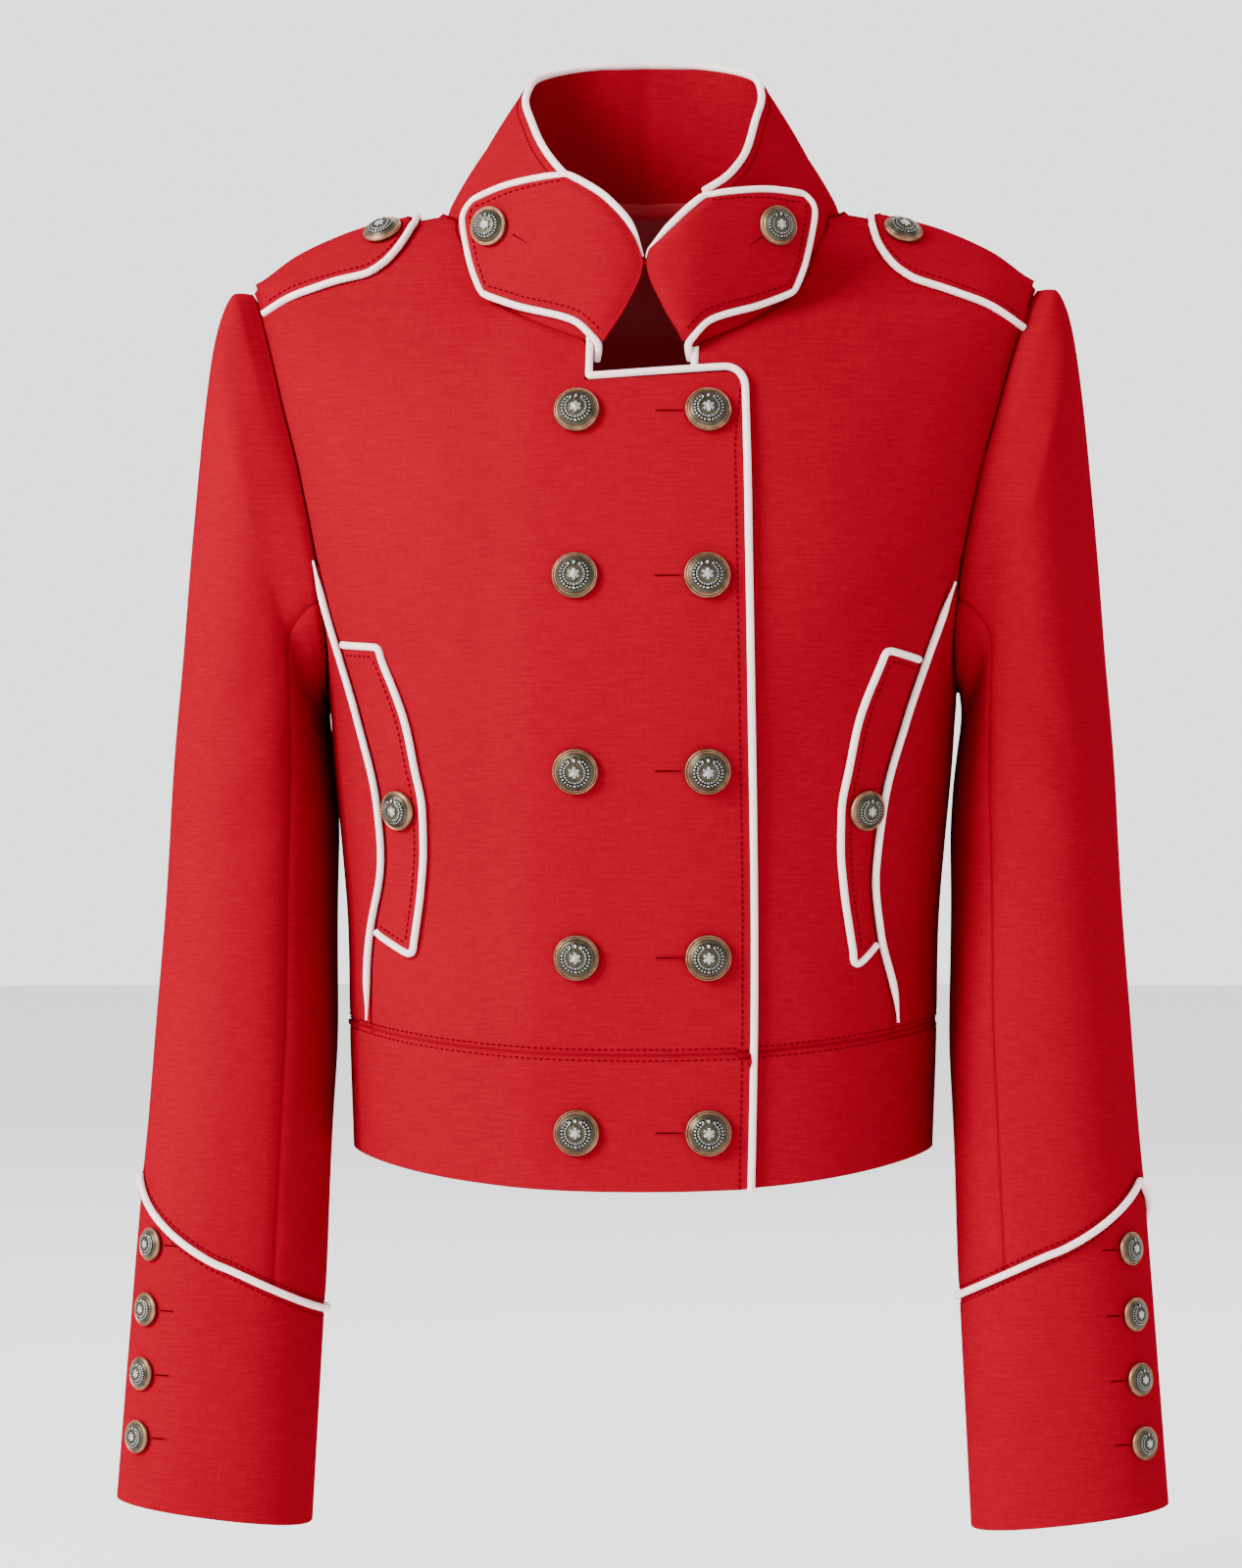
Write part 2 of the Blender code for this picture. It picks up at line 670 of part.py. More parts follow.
# Free edge of the standing collar, from the meeting point in front to the nape
COLLAR_EDGE = Table(
    "share x y z",
    (0.00, 0.0000, -0.0942, -0.0350),
    (0.12, 0.0170, -0.0880, -0.0085),
    (0.22, 0.0385, -0.0745, 0.0080),
    (0.32, 0.0500, -0.0420, 0.0260),
    (0.40, 0.0555, -0.0230, 0.0400),
    (0.50, 0.0598, -0.0020, 0.0545),
    (0.60, 0.0575, 0.0190, 0.0660),
    (0.72, 0.0435, 0.0360, 0.0730),
    (0.85, 0.0240, 0.0450, 0.0765),
    (1.00, 0.0000, 0.0480, 0.0775),
)
COLLAR_ROWS = 3
COLLAR_SHIFT_FADE = 0.0600
COLLAR_LAP_SHARE = 0.5
COLLAR_CORD_RISE = 0.0027
LEFT_TAB_LOWER = 0.40
COLLAR_SHARES = (0.0, 0.10, 0.22, 0.36, 0.50, 0.62, 0.75, 0.88, 1.0)

# Half outline of a tab seen from the front, as distances from the middle
TAB_INNER = Table(
    "share x z",
    (0.00, 0.0200, -0.0765),
    (0.25, 0.0075, -0.0555),
    (0.45, 0.0008, -0.0350),
    (0.55, 0.0050, -0.0240),
    (0.78, 0.0190, -0.0085),
    (1.00, 0.0370, 0.0042),
)
TAB_TOP = Table(
    "share x z",
    (0.0, 0.0370, 0.0042),
    (0.5, 0.0612, 0.0010),
    (1.0, 0.0795, -0.0050),
)
TAB_OUTER = Table(
    "share x z",
    (0.00, 0.0738, -0.0452),
    (0.40, 0.0792, -0.0300),
    (0.75, 0.0827, -0.0120),
    (1.00, 0.0795, -0.0050),
)
TAB_LOWER = Table(
    "share x z",
    (0.00, 0.0200, -0.0765),
    (0.22, 0.0330, -0.0605),
    (0.60, 0.0570, -0.0520),
    (1.00, 0.0738, -0.0452),
)
TAB_COLUMNS, TAB_ROWS = 7, 8
TAB_FACE_Y, TAB_MIDDLE_Z = -0.0983, -0.0500
TAB_FLAT_X = 0.0200
TAB_TURN_BACK, TAB_LEAN = 0.47, 0.096

# The upper part of each tab as it was folded: raised, raised more outwards and drawn towards the middle
TAB_RAISE = {1: -0.0009, -1: 0.0025}
TAB_TILT = {1: 0.278, -1: -0.020}
TAB_DRAW = {1: 0.14, -1: 0.0}
TAB_TILT_X, TAB_CORNER_X = 0.0615, 0.0795
TAB_TILT_Z, TAB_TILT_FADE = -0.0350, 0.0300


def tab_y(x, z):
    """Depth of a tab's face: flat in front, turning back towards its outer edge."""
    past = max(0.0, abs(x) - TAB_FLAT_X)
    return TAB_FACE_Y + TAB_TURN_BACK * past + TAB_LEAN * (z - TAB_MIDDLE_Z)


def tab_point(x, z, side):
    return Vector((side * x + closure_shift(x), tab_y(x, z), z))


def tab_normal(x, z, side):
    small = 0.002
    across = tab_point(x + small, z, side) - tab_point(x - small, z, side)
    up = tab_point(x, z + small, side) - tab_point(x, z - small, side)
    normal = across.cross(up).normalized()
    return normal if normal.y < 0.0 else normal * -1.0


def tab_folded(x, z, side):
    """A place of the even tab, moved to where this side's tab has it."""
    share = smoothstep((z - TAB_TILT_Z) / TAB_TILT_FADE)
    raised = TAB_RAISE[side] + TAB_TILT[side] * (x - TAB_TILT_X)
    return x - share * TAB_DRAW[side] * (TAB_CORNER_X - x), z + share * raised


def tab(side, suffix):
    """A collar end folded outward over the collar, with its piping and its button."""
    sides = []
    for tables, count in (((TAB_LOWER, TAB_TOP), TAB_COLUMNS), ((TAB_INNER, TAB_OUTER), TAB_ROWS)):
        shares = np.linspace(0.0, 1.0, count + 1)
        sides += [[table(share)[1:] for share in shares] for table in tables]
    places = [[tab_folded(x, z, side) for x, z in column] for column in patch(*sides, TAB_COLUMNS, TAB_ROWS)]
    outer = [[tab_point(x, z, side) for x, z in column] for column in places]
    normals = [[tab_normal(x, z, side) for x, z in column] for column in places]
    inner = [[p - n * STIFF_CLOTH for p, n in zip(line, turned)] for line, turned in zip(outer, normals)]
    wall(f"collar_tab_{suffix}", outer, inner)
    meeting = TAB_ROWS // 2
    order = [(0, j) for j in range(meeting, TAB_ROWS + 1)]
    order += [(i, TAB_ROWS) for i in range(1, TAB_COLUMNS + 1)]
    order += [(TAB_COLUMNS, j) for j in range(TAB_ROWS - 1, -1, -1)]
    order += [(i, 0) for i in range(TAB_COLUMNS - 1, -1, -1)]
    rim = [outer[i][j] - normals[i][j] * STIFF_CLOTH / 2.0 for i, j in order]
    facing = [normals[i][j] for i, j in order]
    path = beside(rim, facing, -side)
    path[0] = lerp(path[0], path[1], MEETING_TRIM)
    piping(f"piping_tab_{suffix}", path)
    x, z = TAB_BUTTON[side]
    button(f"button_tab_{suffix}", tab_point(x, z, side), tab_normal(x, z, side), SMALL_BUTTON)


def beside(path, normals, side, lift=0.0):
    """The line of a cord that lies against an edge: each point moved out of the cloth, square to the edge."""
    reach = PIPING_RADIUS + PIPING_GAP
    moved = []
    for i, (point, normal) in enumerate(zip(path, normals)):
        before = (point - path[i - 1]).normalized() if i > 0 else None
        after = (path[i + 1] - point).normalized() if i < len(path) - 1 else None
        before, after = before or after, after or before
        outward = (before + after).cross(normal).normalized() * side
        corner = max(0.5, math.sqrt(max(0.0, 0.5 + 0.5 * before.dot(after))))
        moved.append(point + outward * reach / corner + normal * lift)
    return moved


def collar():
    """The standing collar, from the wearer's right meeting point round the nape to the left one."""
    nape = [(math.radians(p.turn), p.z) for p in map(NECK_BACK, np.linspace(0.0, 1.0, NECK_COLUMNS + 1))]
    halves = []
    for side in (-1, 1):
        half = []
        for (turn, z), share in zip(neckline(side) + nape[1:], COLLAR_SHARES):
            base, edge = body(turn, z), COLLAR_EDGE(share)
            if side < 0:
                base = base + body_normal(turn, z) * lap_lift(base) * COLLAR_LAP_SHARE
            shift = side * closure_shift(edge.x) * smoothstep(-edge.y / COLLAR_SHIFT_FADE)
            top = Vector((edge.x + shift, edge.y, edge.z))
            base = base + (top - base).normalized() * SEAM_GAP
            half.append([lerp(base, top, v) for v in np.linspace(0.0, 1.0, COLLAR_ROWS + 1)])
        halves.append(half)
    outer = mirrored(halves[0])[:-1] + list(reversed(halves[1]))
    columns, rows = len(outer), len(outer[0])
    inner = []
    for i in range(columns):
        line = []
        for j in range(rows):
            across = outer[min(i + 1, columns - 1)][j] - outer[max(i - 1, 0)][j]
            up = outer[i][min(j + 1, rows - 1)] - outer[i][max(j - 1, 0)]
            normal = across.cross(up).normalized()
            line.append(outer[i][j] + normal * STIFF_CLOTH)
        inner.append(line)
    wall("collar_stand", outer, inner)
    return outer, inner


# ---------------------------------------------------------------- buttons

FRONT_BUTTON, SMALL_BUTTON, CUFF_BUTTON = 0.0218, 0.0192, 0.0160
BUTTON_SIDES = 12
BUTTON_SEAT = 0.0004
FRONT_BUTTON_XS = (("right", -0.0263), ("left", 0.0345))
FRONT_BUTTON_ZS = (-0.1066, -0.1837, -0.2736, -0.3610, -0.4429)
TAB_BUTTON = {1: (0.0655, -0.0160), -1: (0.0702, -0.0152)}
FLAP_BUTTON = (0.1085, -0.2920)
STRAP_BUTTON_X, STRAP_BUTTON_ACROSS = 0.1255, -0.45
CUFF_BUTTON_STEP, CUFF_BUTTON_SEARCH_FROM = 2.8, 0.9
CUFF_BUTTON_ZS = (-0.5008, -0.5320, -0.5628, -0.5930)

# Half profile of a domed metal button, as shares of its radius
BUTTON_PROFILE = ((0.00, 0.00), (0.82, 0.00), (1.00, 0.10), (0.92, 0.26), (0.52, 0.45), (0.00, 0.52))


def button(name, place, normal, diameter):
    mesh = bmesh.new()
    radius = diameter / 2.0
    rim = [mesh.verts.new((r * radius, 0.0, h * radius)) for r, h in BUTTON_PROFILE]
    edges = [mesh.edges.new(pair) for pair in zip(rim, rim[1:])]
    bmesh.ops.spin(mesh, geom=rim + edges, axis=(0, 0, 1), cent=(0, 0, 0), angle=math.tau, steps=BUTTON_SIDES)
    bmesh.ops.remove_doubles(mesh, verts=mesh.verts, dist=1e-6)
    bmesh.ops.recalc_face_normals(mesh, faces=mesh.faces)
    data = bpy.data.meshes.new(name)
    mesh.to_mesh(data)
    mesh.free()
    data.shade_smooth()
    made = add_object(name, data, BRASS, 0.35, 1.0)
    made.location = place + normal * BUTTON_SEAT
    made.rotation_mode = "QUATERNION"
    made.rotation_quaternion = normal.to_track_quat("Z", "Y")


def on_body(x, z, lift):
    """Place and direction on the front of the form at x and z, lifted off it."""
    turn = turn_at(x, z)
    normal = body_normal(turn, z)
    return body(turn, z) + normal * lift, normal


def front_buttons():
    for column, x in FRONT_BUTTON_XS:
        for row, z in enumerate(FRONT_BUTTON_ZS, 1):
            place, normal = on_body(x, z, CLOTH + LAYER_GAP)
            button(f"button_front_{column}_{row}", place, normal, FRONT_BUTTON)


def cuff_buttons(side, suffix):
    for row, z in enumerate(CUFF_BUTTON_ZS, 1):
        along = along_at(CUFF_BUTTON_STEP, z, CUFF_BUTTON_SEARCH_FROM)
        place, normal = sleeve_point(CUFF_BUTTON_STEP, along), sleeve_normal(CUFF_BUTTON_STEP, along)
        if side < 0:
            place, normal = flipped(place), flipped(normal)
        button(f"button_cuff_{suffix}_{row}", place, normal, CUFF_BUTTON)


# ---------------------------------------------------------------- flaps and shoulder straps

FLAP_FRONT = Table(
    "z x",
    (-0.2190, 0.1195),
    (-0.2520, 0.1070),
    (-0.2720, 0.1030),
    (-0.2925, 0.0993),
    (-0.3100, 0.0990),
    (-0.3300, 0.1005),
    (-0.3480, 0.1030),
    (-0.3598, 0.1048),
)
FLAP_SHIFT = 0.0016
FLAP_TOP_Z, FLAP_BOTTOM_Z, FLAP_TIP_Z = -0.2175, -0.3490, -0.3598
FLAP_FROM_SEAM = 0.0030
FLAP_COLUMNS, FLAP_ROWS = 3, 12

# Cords: how far they stand off the form, and where their ends lie
CORD_LIFT = 0.0024
CORD_START = 0.0160
MEETING_TRIM = 0.40
LAP_NOTCH_FROM, LAP_NOTCH_TO = 0.0040, 0.0056
UNDER_NOTCH_FROM, UNDER_NOTCH_TO = 0.0020, 0.0080
UNDER_NOTCH_LIFT = -0.0010
EDGE_CORD_POINTS, SEAM_CORD_POINTS = 18, 20

# How far below the shoulder line the front edges of the wearer's right and left strap lie
STRAP_DROP = Table(
    "x right left",
    (0.1870, 0.0160, 0.0250),
    (0.1760, 0.0175, 0.0258),
    (0.1665, 0.0195, 0.0268),
    (0.1500, 0.0225, 0.0285),
    (0.1335, 0.0245, 0.0290),
    (0.1255, 0.0215, 0.0262),
    (0.1200, 0.0165, 0.0215),
    (0.1150, 0.0090, 0.0135),
    (0.1125, 0.0030, 0.0040),
)
STRAP_BACK = 0.75
STRAP_DROP_POWER = 1.5
STRAP_COLUMN_POWER = 1.3
STRAP_COLUMNS, STRAP_ROWS = 9, 6
STRAP_LIFT = 0.0030
STRAP_NECK_X, STRAP_SLEEVE_X, STRAP_SLEEVE_SLANT = 0.1125, 0.1870, 0.0035


def flap(side, suffix):
    front_z = np.linspace(FLAP_TIP_Z, FLAP_FRONT.keys[-1], FLAP_ROWS + 1)
    seam_z = np.linspace(FLAP_BOTTOM_Z, FLAP_TOP_Z, FLAP_ROWS + 1)
    shares = np.linspace(0.0, 1.0, FLAP_COLUMNS + 1)
    seam_side = [(seam_x(z, side) - FLAP_FROM_SEAM, z) for z in seam_z]
    front_side = [(FLAP_FRONT(z).x - side * FLAP_SHIFT, z) for z in front_z]
    bottom = [tuple(lerp(np.array(seam_side[0]), np.array(front_side[0]), s)) for s in shares]
    top = [tuple(lerp(np.array(seam_side[-1]), np.array(front_side[-1]), s)) for s in shares]
    places = patch(bottom, top, seam_side, front_side, FLAP_COLUMNS, FLAP_ROWS)
    turns = [[(turn_at(x, z), z) for x, z in column] for column in places]
    outer, inner = grids(turns, CLOTH + LAYER_GAP, mirror=side < 0)
    wall(f"pocket_flap_{suffix}", outer, inner)
    edge = [places[i][FLAP_ROWS] for i in range(FLAP_COLUMNS + 1)]
    edge += [places[FLAP_COLUMNS][j] for j in range(FLAP_ROWS - 1, -1, -1)]
    edge += [places[i][0] for i in range(FLAP_COLUMNS - 1, -1, -1)]
    on_form = [on_body(x, z, 0.0) for x, z in edge]
    path = beside([p for p, _ in on_form], [n for _, n in on_form], 1, CORD_LIFT)
    button_x, button_z = FLAP_BUTTON
    place, normal = on_body(button_x - side * FLAP_SHIFT, button_z, CLOTH + LAYER_GAP)
    if side < 0:
        path, place, normal = [flipped(p) for p in path], flipped(place), flipped(normal)
    piping(f"piping_flap_{suffix}", path)
    button(f"button_flap_{suffix}", place, normal, SMALL_BUTTON)


def strap_place(x, across, side):
    """Turn and height on the shoulder; across runs from -1 at the strap's front edge to 1 at its back."""
    row = STRAP_DROP(x)
    in_front = row.left if side > 0 else row.right
    drop = in_front if across < 0.0 else row.right * STRAP_BACK
    z = shoulder_z(x) - drop * abs(across) ** STRAP_DROP_POWER
    turn = turn_at(x, z)
    return (turn if across < 0.0 else math.pi - turn), z


def strap(side, suffix):
    acrosses = np.linspace(-1.0, 1.0, STRAP_ROWS + 1)
    turns = []
    for share in np.linspace(0.0, 1.0, STRAP_COLUMNS + 1):
        share = 1.0 - (1.0 - share) ** STRAP_COLUMN_POWER
        column = []
        for across in acrosses:
            end = STRAP_SLEEVE_X - STRAP_SLEEVE_SLANT * abs(across)
            column.append(strap_place(lerp(end, STRAP_NECK_X, share), across, side))
        turns.append(column)
    outer, inner = grids(turns, STRAP_LIFT, mirror=side < 0)
    wall(f"shoulder_strap_{suffix}", outer, inner)
    edge = [turns[i][0] for i in range(STRAP_COLUMNS + 1)]
    edge += [turns[STRAP_COLUMNS][j] for j in range(1, STRAP_ROWS)]
    edge += [turns[i][STRAP_ROWS] for i in range(STRAP_COLUMNS, -1, -1)]
    path = beside([body(*t) for t in edge], [body_normal(*t) for t in edge], -1, CORD_LIFT)
    turn, z = strap_place(STRAP_BUTTON_X, STRAP_BUTTON_ACROSS, side)
    place, normal = body(turn, z) + body_normal(turn, z) * STRAP_LIFT, body_normal(turn, z)
    if side < 0:
        path, place, normal = [flipped(p) for p in path], flipped(place), flipped(normal)
    piping(f"piping_strap_{suffix}", path)
    button(f"button_strap_{suffix}", place, normal, SMALL_BUTTON)


# ---------------------------------------------------------------- piping of the seams


def seam_piping(side, suffix):
    """The cord in the side-front seam, from the waistband to just below the armhole."""
    line = []
    foot_z = band_seam_z(turn_at(SEAM_FOOT_X, BAND_SEAM_SIDE_Z))
    for z in np.linspace(foot_z, SIDE_FRONT_TOP_Z - CORD_START, SEAM_CORD_POINTS):
        place, _ = on_body(seam_x(z, side), z, CORD_LIFT)
        line.append(place if side > 0 else flipped(place))
    piping(f"piping_side_front_{suffix}", line)


def cuff_piping(side, suffix):
    line = []
    for step in range(AROUND):
        along = cuff_seam_along(step)
        place = sleeve_point(step, along) + sleeve_normal(step, along) * CORD_LIFT
        line.append(place if side > 0 else flipped(place))
    cord = piping(f"piping_cuff_{suffix}", line)
    cord.data.splines[0].use_cyclic_u = True


def collar_piping(outer, inner):
    """The cord on the collar's free edge, between the places where the tabs cover it."""
    hidden = 2
    line = []
    for i in range(hidden, len(outer) - hidden + 1):
        up = (outer[i][-1] - outer[i][-2]).normalized()
        line.append((outer[i][-1] + inner[i][-1]) / 2.0 + up * COLLAR_CORD_RISE)
    line[-1] = lerp(line[-2], line[-1], LEFT_TAB_LOWER)
    piping("piping_collar", line)


def lap_piping():
    """The lapping front's cord: up its free edge, over the corner, along the top and up the notch."""
    corner_x, corner_z = LAP_EDGE(FRONT_TOP_Z).x, FRONT_TOP_Z + FRONT_TOP_RISE
    heights = np.linspace(hem_z(0.0), corner_z - LAP_CORD_TURN_Z, EDGE_CORD_POINTS)
    edge = [(LAP_EDGE(z).x, z) for z in heights]
    round_x, round_z = corner_x - LAP_CORD_ROUND, corner_z - LAP_CORD_ROUND
    for angle in np.radians((30.0, 60.0, 90.0)):
        edge.append((round_x + LAP_CORD_ROUND * math.cos(angle), round_z + LAP_CORD_ROUND * math.sin(angle)))
    notch = -NOTCH_X + closure_shift(NOTCH_X)
    for share in (0.35, 0.65, 1.0):
        edge.append((lerp(round_x, notch, share), lerp(corner_z, FRONT_TOP_Z, share)))
    edge += [(notch, z) for z in np.linspace(FRONT_TOP_Z + LAP_NOTCH_FROM, NOTCH_TOP_Z - LAP_NOTCH_TO, 3)]
    on_form = [on_body(x, z, 0.0) for x, z in edge]
    piping("piping_front_edge", beside([p for p, _ in on_form], [n for _, n in on_form], 1, CORD_LIFT))


def notch_piping():
    """The short cord on the notch of the under front, which runs down behind the lapping front."""
    notch = NOTCH_X + closure_shift(NOTCH_X)
    heights = np.linspace(NOTCH_TOP_Z - UNDER_NOTCH_FROM, FRONT_TOP_Z + UNDER_NOTCH_TO, 3)
    line = [on_body(notch, z, 0.0) for z in heights]
    piping("piping_notch", beside([p for p, _ in line], [n for _, n in line], 1, UNDER_NOTCH_LIFT))


def back_lining(turns):
    """Satin inside the back, as far down as it shows in the neck opening."""
    from_column, rows_shown = SHOULDER_COLUMNS + 1, 7
    part = [column[-rows_shown:] for column in turns[from_column:len(turns) - from_column]]
    outer, inner = grids(part, -(CLOTH + LAYER_GAP), LINING, seams=("top",))
    made = wall("lining_back_neck", outer, inner, SATIN_RED)
    made.data.materials[0].node_tree.nodes["Principled BSDF"].inputs["Roughness"].default_value = 0.35


def clear_scene():
    for old in list(bpy.data.objects):
        bpy.data.objects.remove(old, do_unlink=True)


def main():
    clear_scene()
    under = front("front_under", 1, lambda z: UNDER_EDGE_X)
    lap = front("front_lap", -1, lambda z: LAP_EDGE(z).x)
    under += side_front("side_front_left", 1)[1:]
    lap += side_front("side_front_right", -1)[1:]
    back = back_turns()
    outer, inner = grids(back, seams=("left", "right", "bottom", "top"))
    wall("back", outer, inner)
    back_lining(back)

    sewn = ("right", "top")
    waistband("waistband_under", under, 1, lambda z: UNDER_EDGE_X, seams=sewn)
    waistband("waistband_lap", lap, -1, lambda z: LAP_EDGE(z).x, lap_lift, sewn)
    waistband("waistband_back", [column[0][0] for column in back], 1)

    inner_seam, outer_seam = SLEEVE_SEAMS
    for side, suffix in ((-1, "right"), (1, "left")):
        upper = range(outer_seam, AROUND + inner_seam + 1)
        wall(f"sleeve_upper_{suffix}", *sleeve_grid(upper, side))
        wall(f"sleeve_under_{suffix}", *sleeve_grid(range(inner_seam, outer_seam + 1), side))
        wall(f"cuff_{suffix}", *cuff_grid(side), closed=True)
        cuff_piping(side, suffix)
        cuff_buttons(side, suffix)
        seam_piping(side, suffix)
        flap(side, suffix)
        strap(side, suffix)
        tab(side, suffix)

    collar_piping(*collar())
    lap_piping()
    notch_piping()
    front_buttons()


main()
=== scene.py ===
"""The jacket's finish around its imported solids: fine cloth, cords, buttons, stitches and a studio.

Metres, +Z up, +X the wearer's left, -Y the front. Every piece is made where the solids are, on the
same body form and sleeve sections, with finer points.
"""

import functools
import math
from collections import namedtuple

import bmesh
import bpy
import numpy as np
from mathutils import Matrix, Vector


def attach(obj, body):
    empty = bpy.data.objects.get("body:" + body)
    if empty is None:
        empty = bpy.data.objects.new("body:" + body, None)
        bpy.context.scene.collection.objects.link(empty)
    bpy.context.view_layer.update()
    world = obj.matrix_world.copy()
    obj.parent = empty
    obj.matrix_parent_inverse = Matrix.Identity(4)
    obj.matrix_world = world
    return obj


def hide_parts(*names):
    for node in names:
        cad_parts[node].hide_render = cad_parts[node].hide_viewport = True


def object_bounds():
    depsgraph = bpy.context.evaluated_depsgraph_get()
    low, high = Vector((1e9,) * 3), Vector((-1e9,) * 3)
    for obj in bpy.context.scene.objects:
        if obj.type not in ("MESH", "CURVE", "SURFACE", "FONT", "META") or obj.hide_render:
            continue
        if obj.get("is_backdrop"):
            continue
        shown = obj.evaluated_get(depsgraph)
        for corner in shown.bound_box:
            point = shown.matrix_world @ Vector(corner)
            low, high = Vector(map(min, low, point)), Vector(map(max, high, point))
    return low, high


bl_info = {
    "name": "Military jacket",
    "version": (1, 0, 0),
    "blender": (4, 5, 0),
    "location": "View3D > Sidebar > Jacket",
    "description": "Dresses the packed jacket in cloth, cord and metal",
    "category": "Object",
}

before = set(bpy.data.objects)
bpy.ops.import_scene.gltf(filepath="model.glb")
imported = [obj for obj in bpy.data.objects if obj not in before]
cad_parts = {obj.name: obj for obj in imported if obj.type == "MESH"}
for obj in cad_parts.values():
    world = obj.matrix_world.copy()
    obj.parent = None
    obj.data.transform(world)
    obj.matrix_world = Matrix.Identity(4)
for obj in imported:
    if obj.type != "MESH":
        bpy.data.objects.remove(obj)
CAD_BOX = [list(corner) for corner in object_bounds()]
BODY = "root"


# ------------------------------------------------ sizes and colours a user would change


class JacketSizes(bpy.types.PropertyGroup):
    """Sizes of the cloth and its trimmings."""

    cloth: bpy.props.FloatProperty(
        name="Cloth", description="Thickness of a sewn panel", default=0.0020, unit="LENGTH")
    stiff_cloth: bpy.props.FloatProperty(
        name="Stiff cloth", description="Thickness of collar and tabs", default=0.0024,
        unit="LENGTH")
    lining: bpy.props.FloatProperty(
        name="Lining", description="Thickness of the satin", default=0.0008, unit="LENGTH")
    piping: bpy.props.FloatProperty(
        name="Piping", description="Radius of the piped cord", default=0.0018, unit="LENGTH")
    fold: bpy.props.FloatProperty(
        name="Edge", description="Radius that rounds each cloth edge", default=0.0007,
        unit="LENGTH")
    thread: bpy.props.FloatProperty(
        name="Thread", description="Radius of the sewing thread", default=0.00034, unit="LENGTH")
    stitch: bpy.props.FloatProperty(
        name="Stitch", description="Length of one stitch with its gap", default=0.0030,
        unit="LENGTH")
    density: bpy.props.IntProperty(
        name="Density", description="Cells of fine cloth for each cell of the solids", default=6,
        min=2, max=8)


class JacketColours(bpy.types.PropertyGroup):
    """Colours of the cloth and its trimmings."""

    wool: bpy.props.FloatVectorProperty(
        name="Wool", description="Red of the outer cloth", subtype="COLOR",
        default=(0.205, 0.0005, 0.0080))
    piping: bpy.props.FloatVectorProperty(
        name="Piping", description="Off-white of the cords", subtype="COLOR",
        default=(0.97, 0.71, 0.70))
    satin: bpy.props.FloatVectorProperty(
        name="Satin", description="Red of the lining", subtype="COLOR",
        default=(0.26, 0.0040, 0.0110))
    thread: bpy.props.FloatVectorProperty(
        name="Thread", description="Red of the stitches", subtype="COLOR",
        default=(0.085, 0.0004, 0.0050))
    copper: bpy.props.FloatVectorProperty(
        name="Copper", description="Worn copper on the rims of the buttons", subtype="COLOR",
        default=(0.27, 0.135, 0.080))
    brass: bpy.props.FloatVectorProperty(
        name="Brass", description="Dull brass of the buttons' domes", subtype="COLOR",
        default=(0.058, 0.049, 0.033))
    pewter: bpy.props.FloatVectorProperty(
        name="Pewter", description="Rubbed grey of the buttons' relief", subtype="COLOR",
        default=(0.40, 0.40, 0.385))
    patina: bpy.props.FloatVectorProperty(
        name="Patina", description="Dark hollows of the buttons", subtype="COLOR",
        default=(0.007, 0.006, 0.005))
    paper: bpy.props.FloatVectorProperty(
        name="Backdrop", description="Pale floor and wall", subtype="COLOR",
        default=(0.90, 0.90, 0.90))


def sizes():
    return bpy.context.scene.jacket_sizes


def colours():
    return bpy.context.scene.jacket_colours


# ------------------------------------------------ named lines of the garment

SIDES = ((1, "left"), (-1, "right"))

FRONT_TOP_Z, FRONT_TOP_RISE, NOTCH_TOP_Z = -0.0916, 0.0045, -0.0740
SHOULDER_TIP_Z, ARMPIT_Z, SIDE_FRONT_TOP_Z = -0.0386, -0.2355, -0.1690
BAND_SEAM_SIDE_Z, BAND_SEAM_DIP = -0.3940, 0.0127
HEM_SIDE_Z, HEM_DIP = -0.4555, 0.0150
NAPE_RISE, NAPE_FADE = 0.0160, 0.1000
NOTCH_X, CLOSURE_SHIFT, CLOSURE_FADE = 0.0265, 0.0046, 0.085
UNDER_EDGE_X, LAP_BLEND, LAP_LIFT, LAP_CORNER = 0.0450, 0.0280, 0.0027, 0.0070
ARMHOLE_FRONT, ARMHOLE_BACK, ARMHOLE_POWER = math.radians(27.0), math.radians(25.0), 2.4
AROUND = 24
LOW_CELLS, MID_CELLS, ARM_CELLS, LAP_CELLS, SIDE_CELLS = 8, 3, 7, 4, 5
NECK_CELLS = SHOULDER_CELLS = 4
LAYER = 0.0027
CORD_LIFT = 0.0024
CORD_GAP = 0.0001


def lerp(a, b, share):
    return a + (b - a) * share


def smoothstep(value):
    value = np.clip(value, 0.0, 1.0)
    return value * value * (3.0 - 2.0 * value)


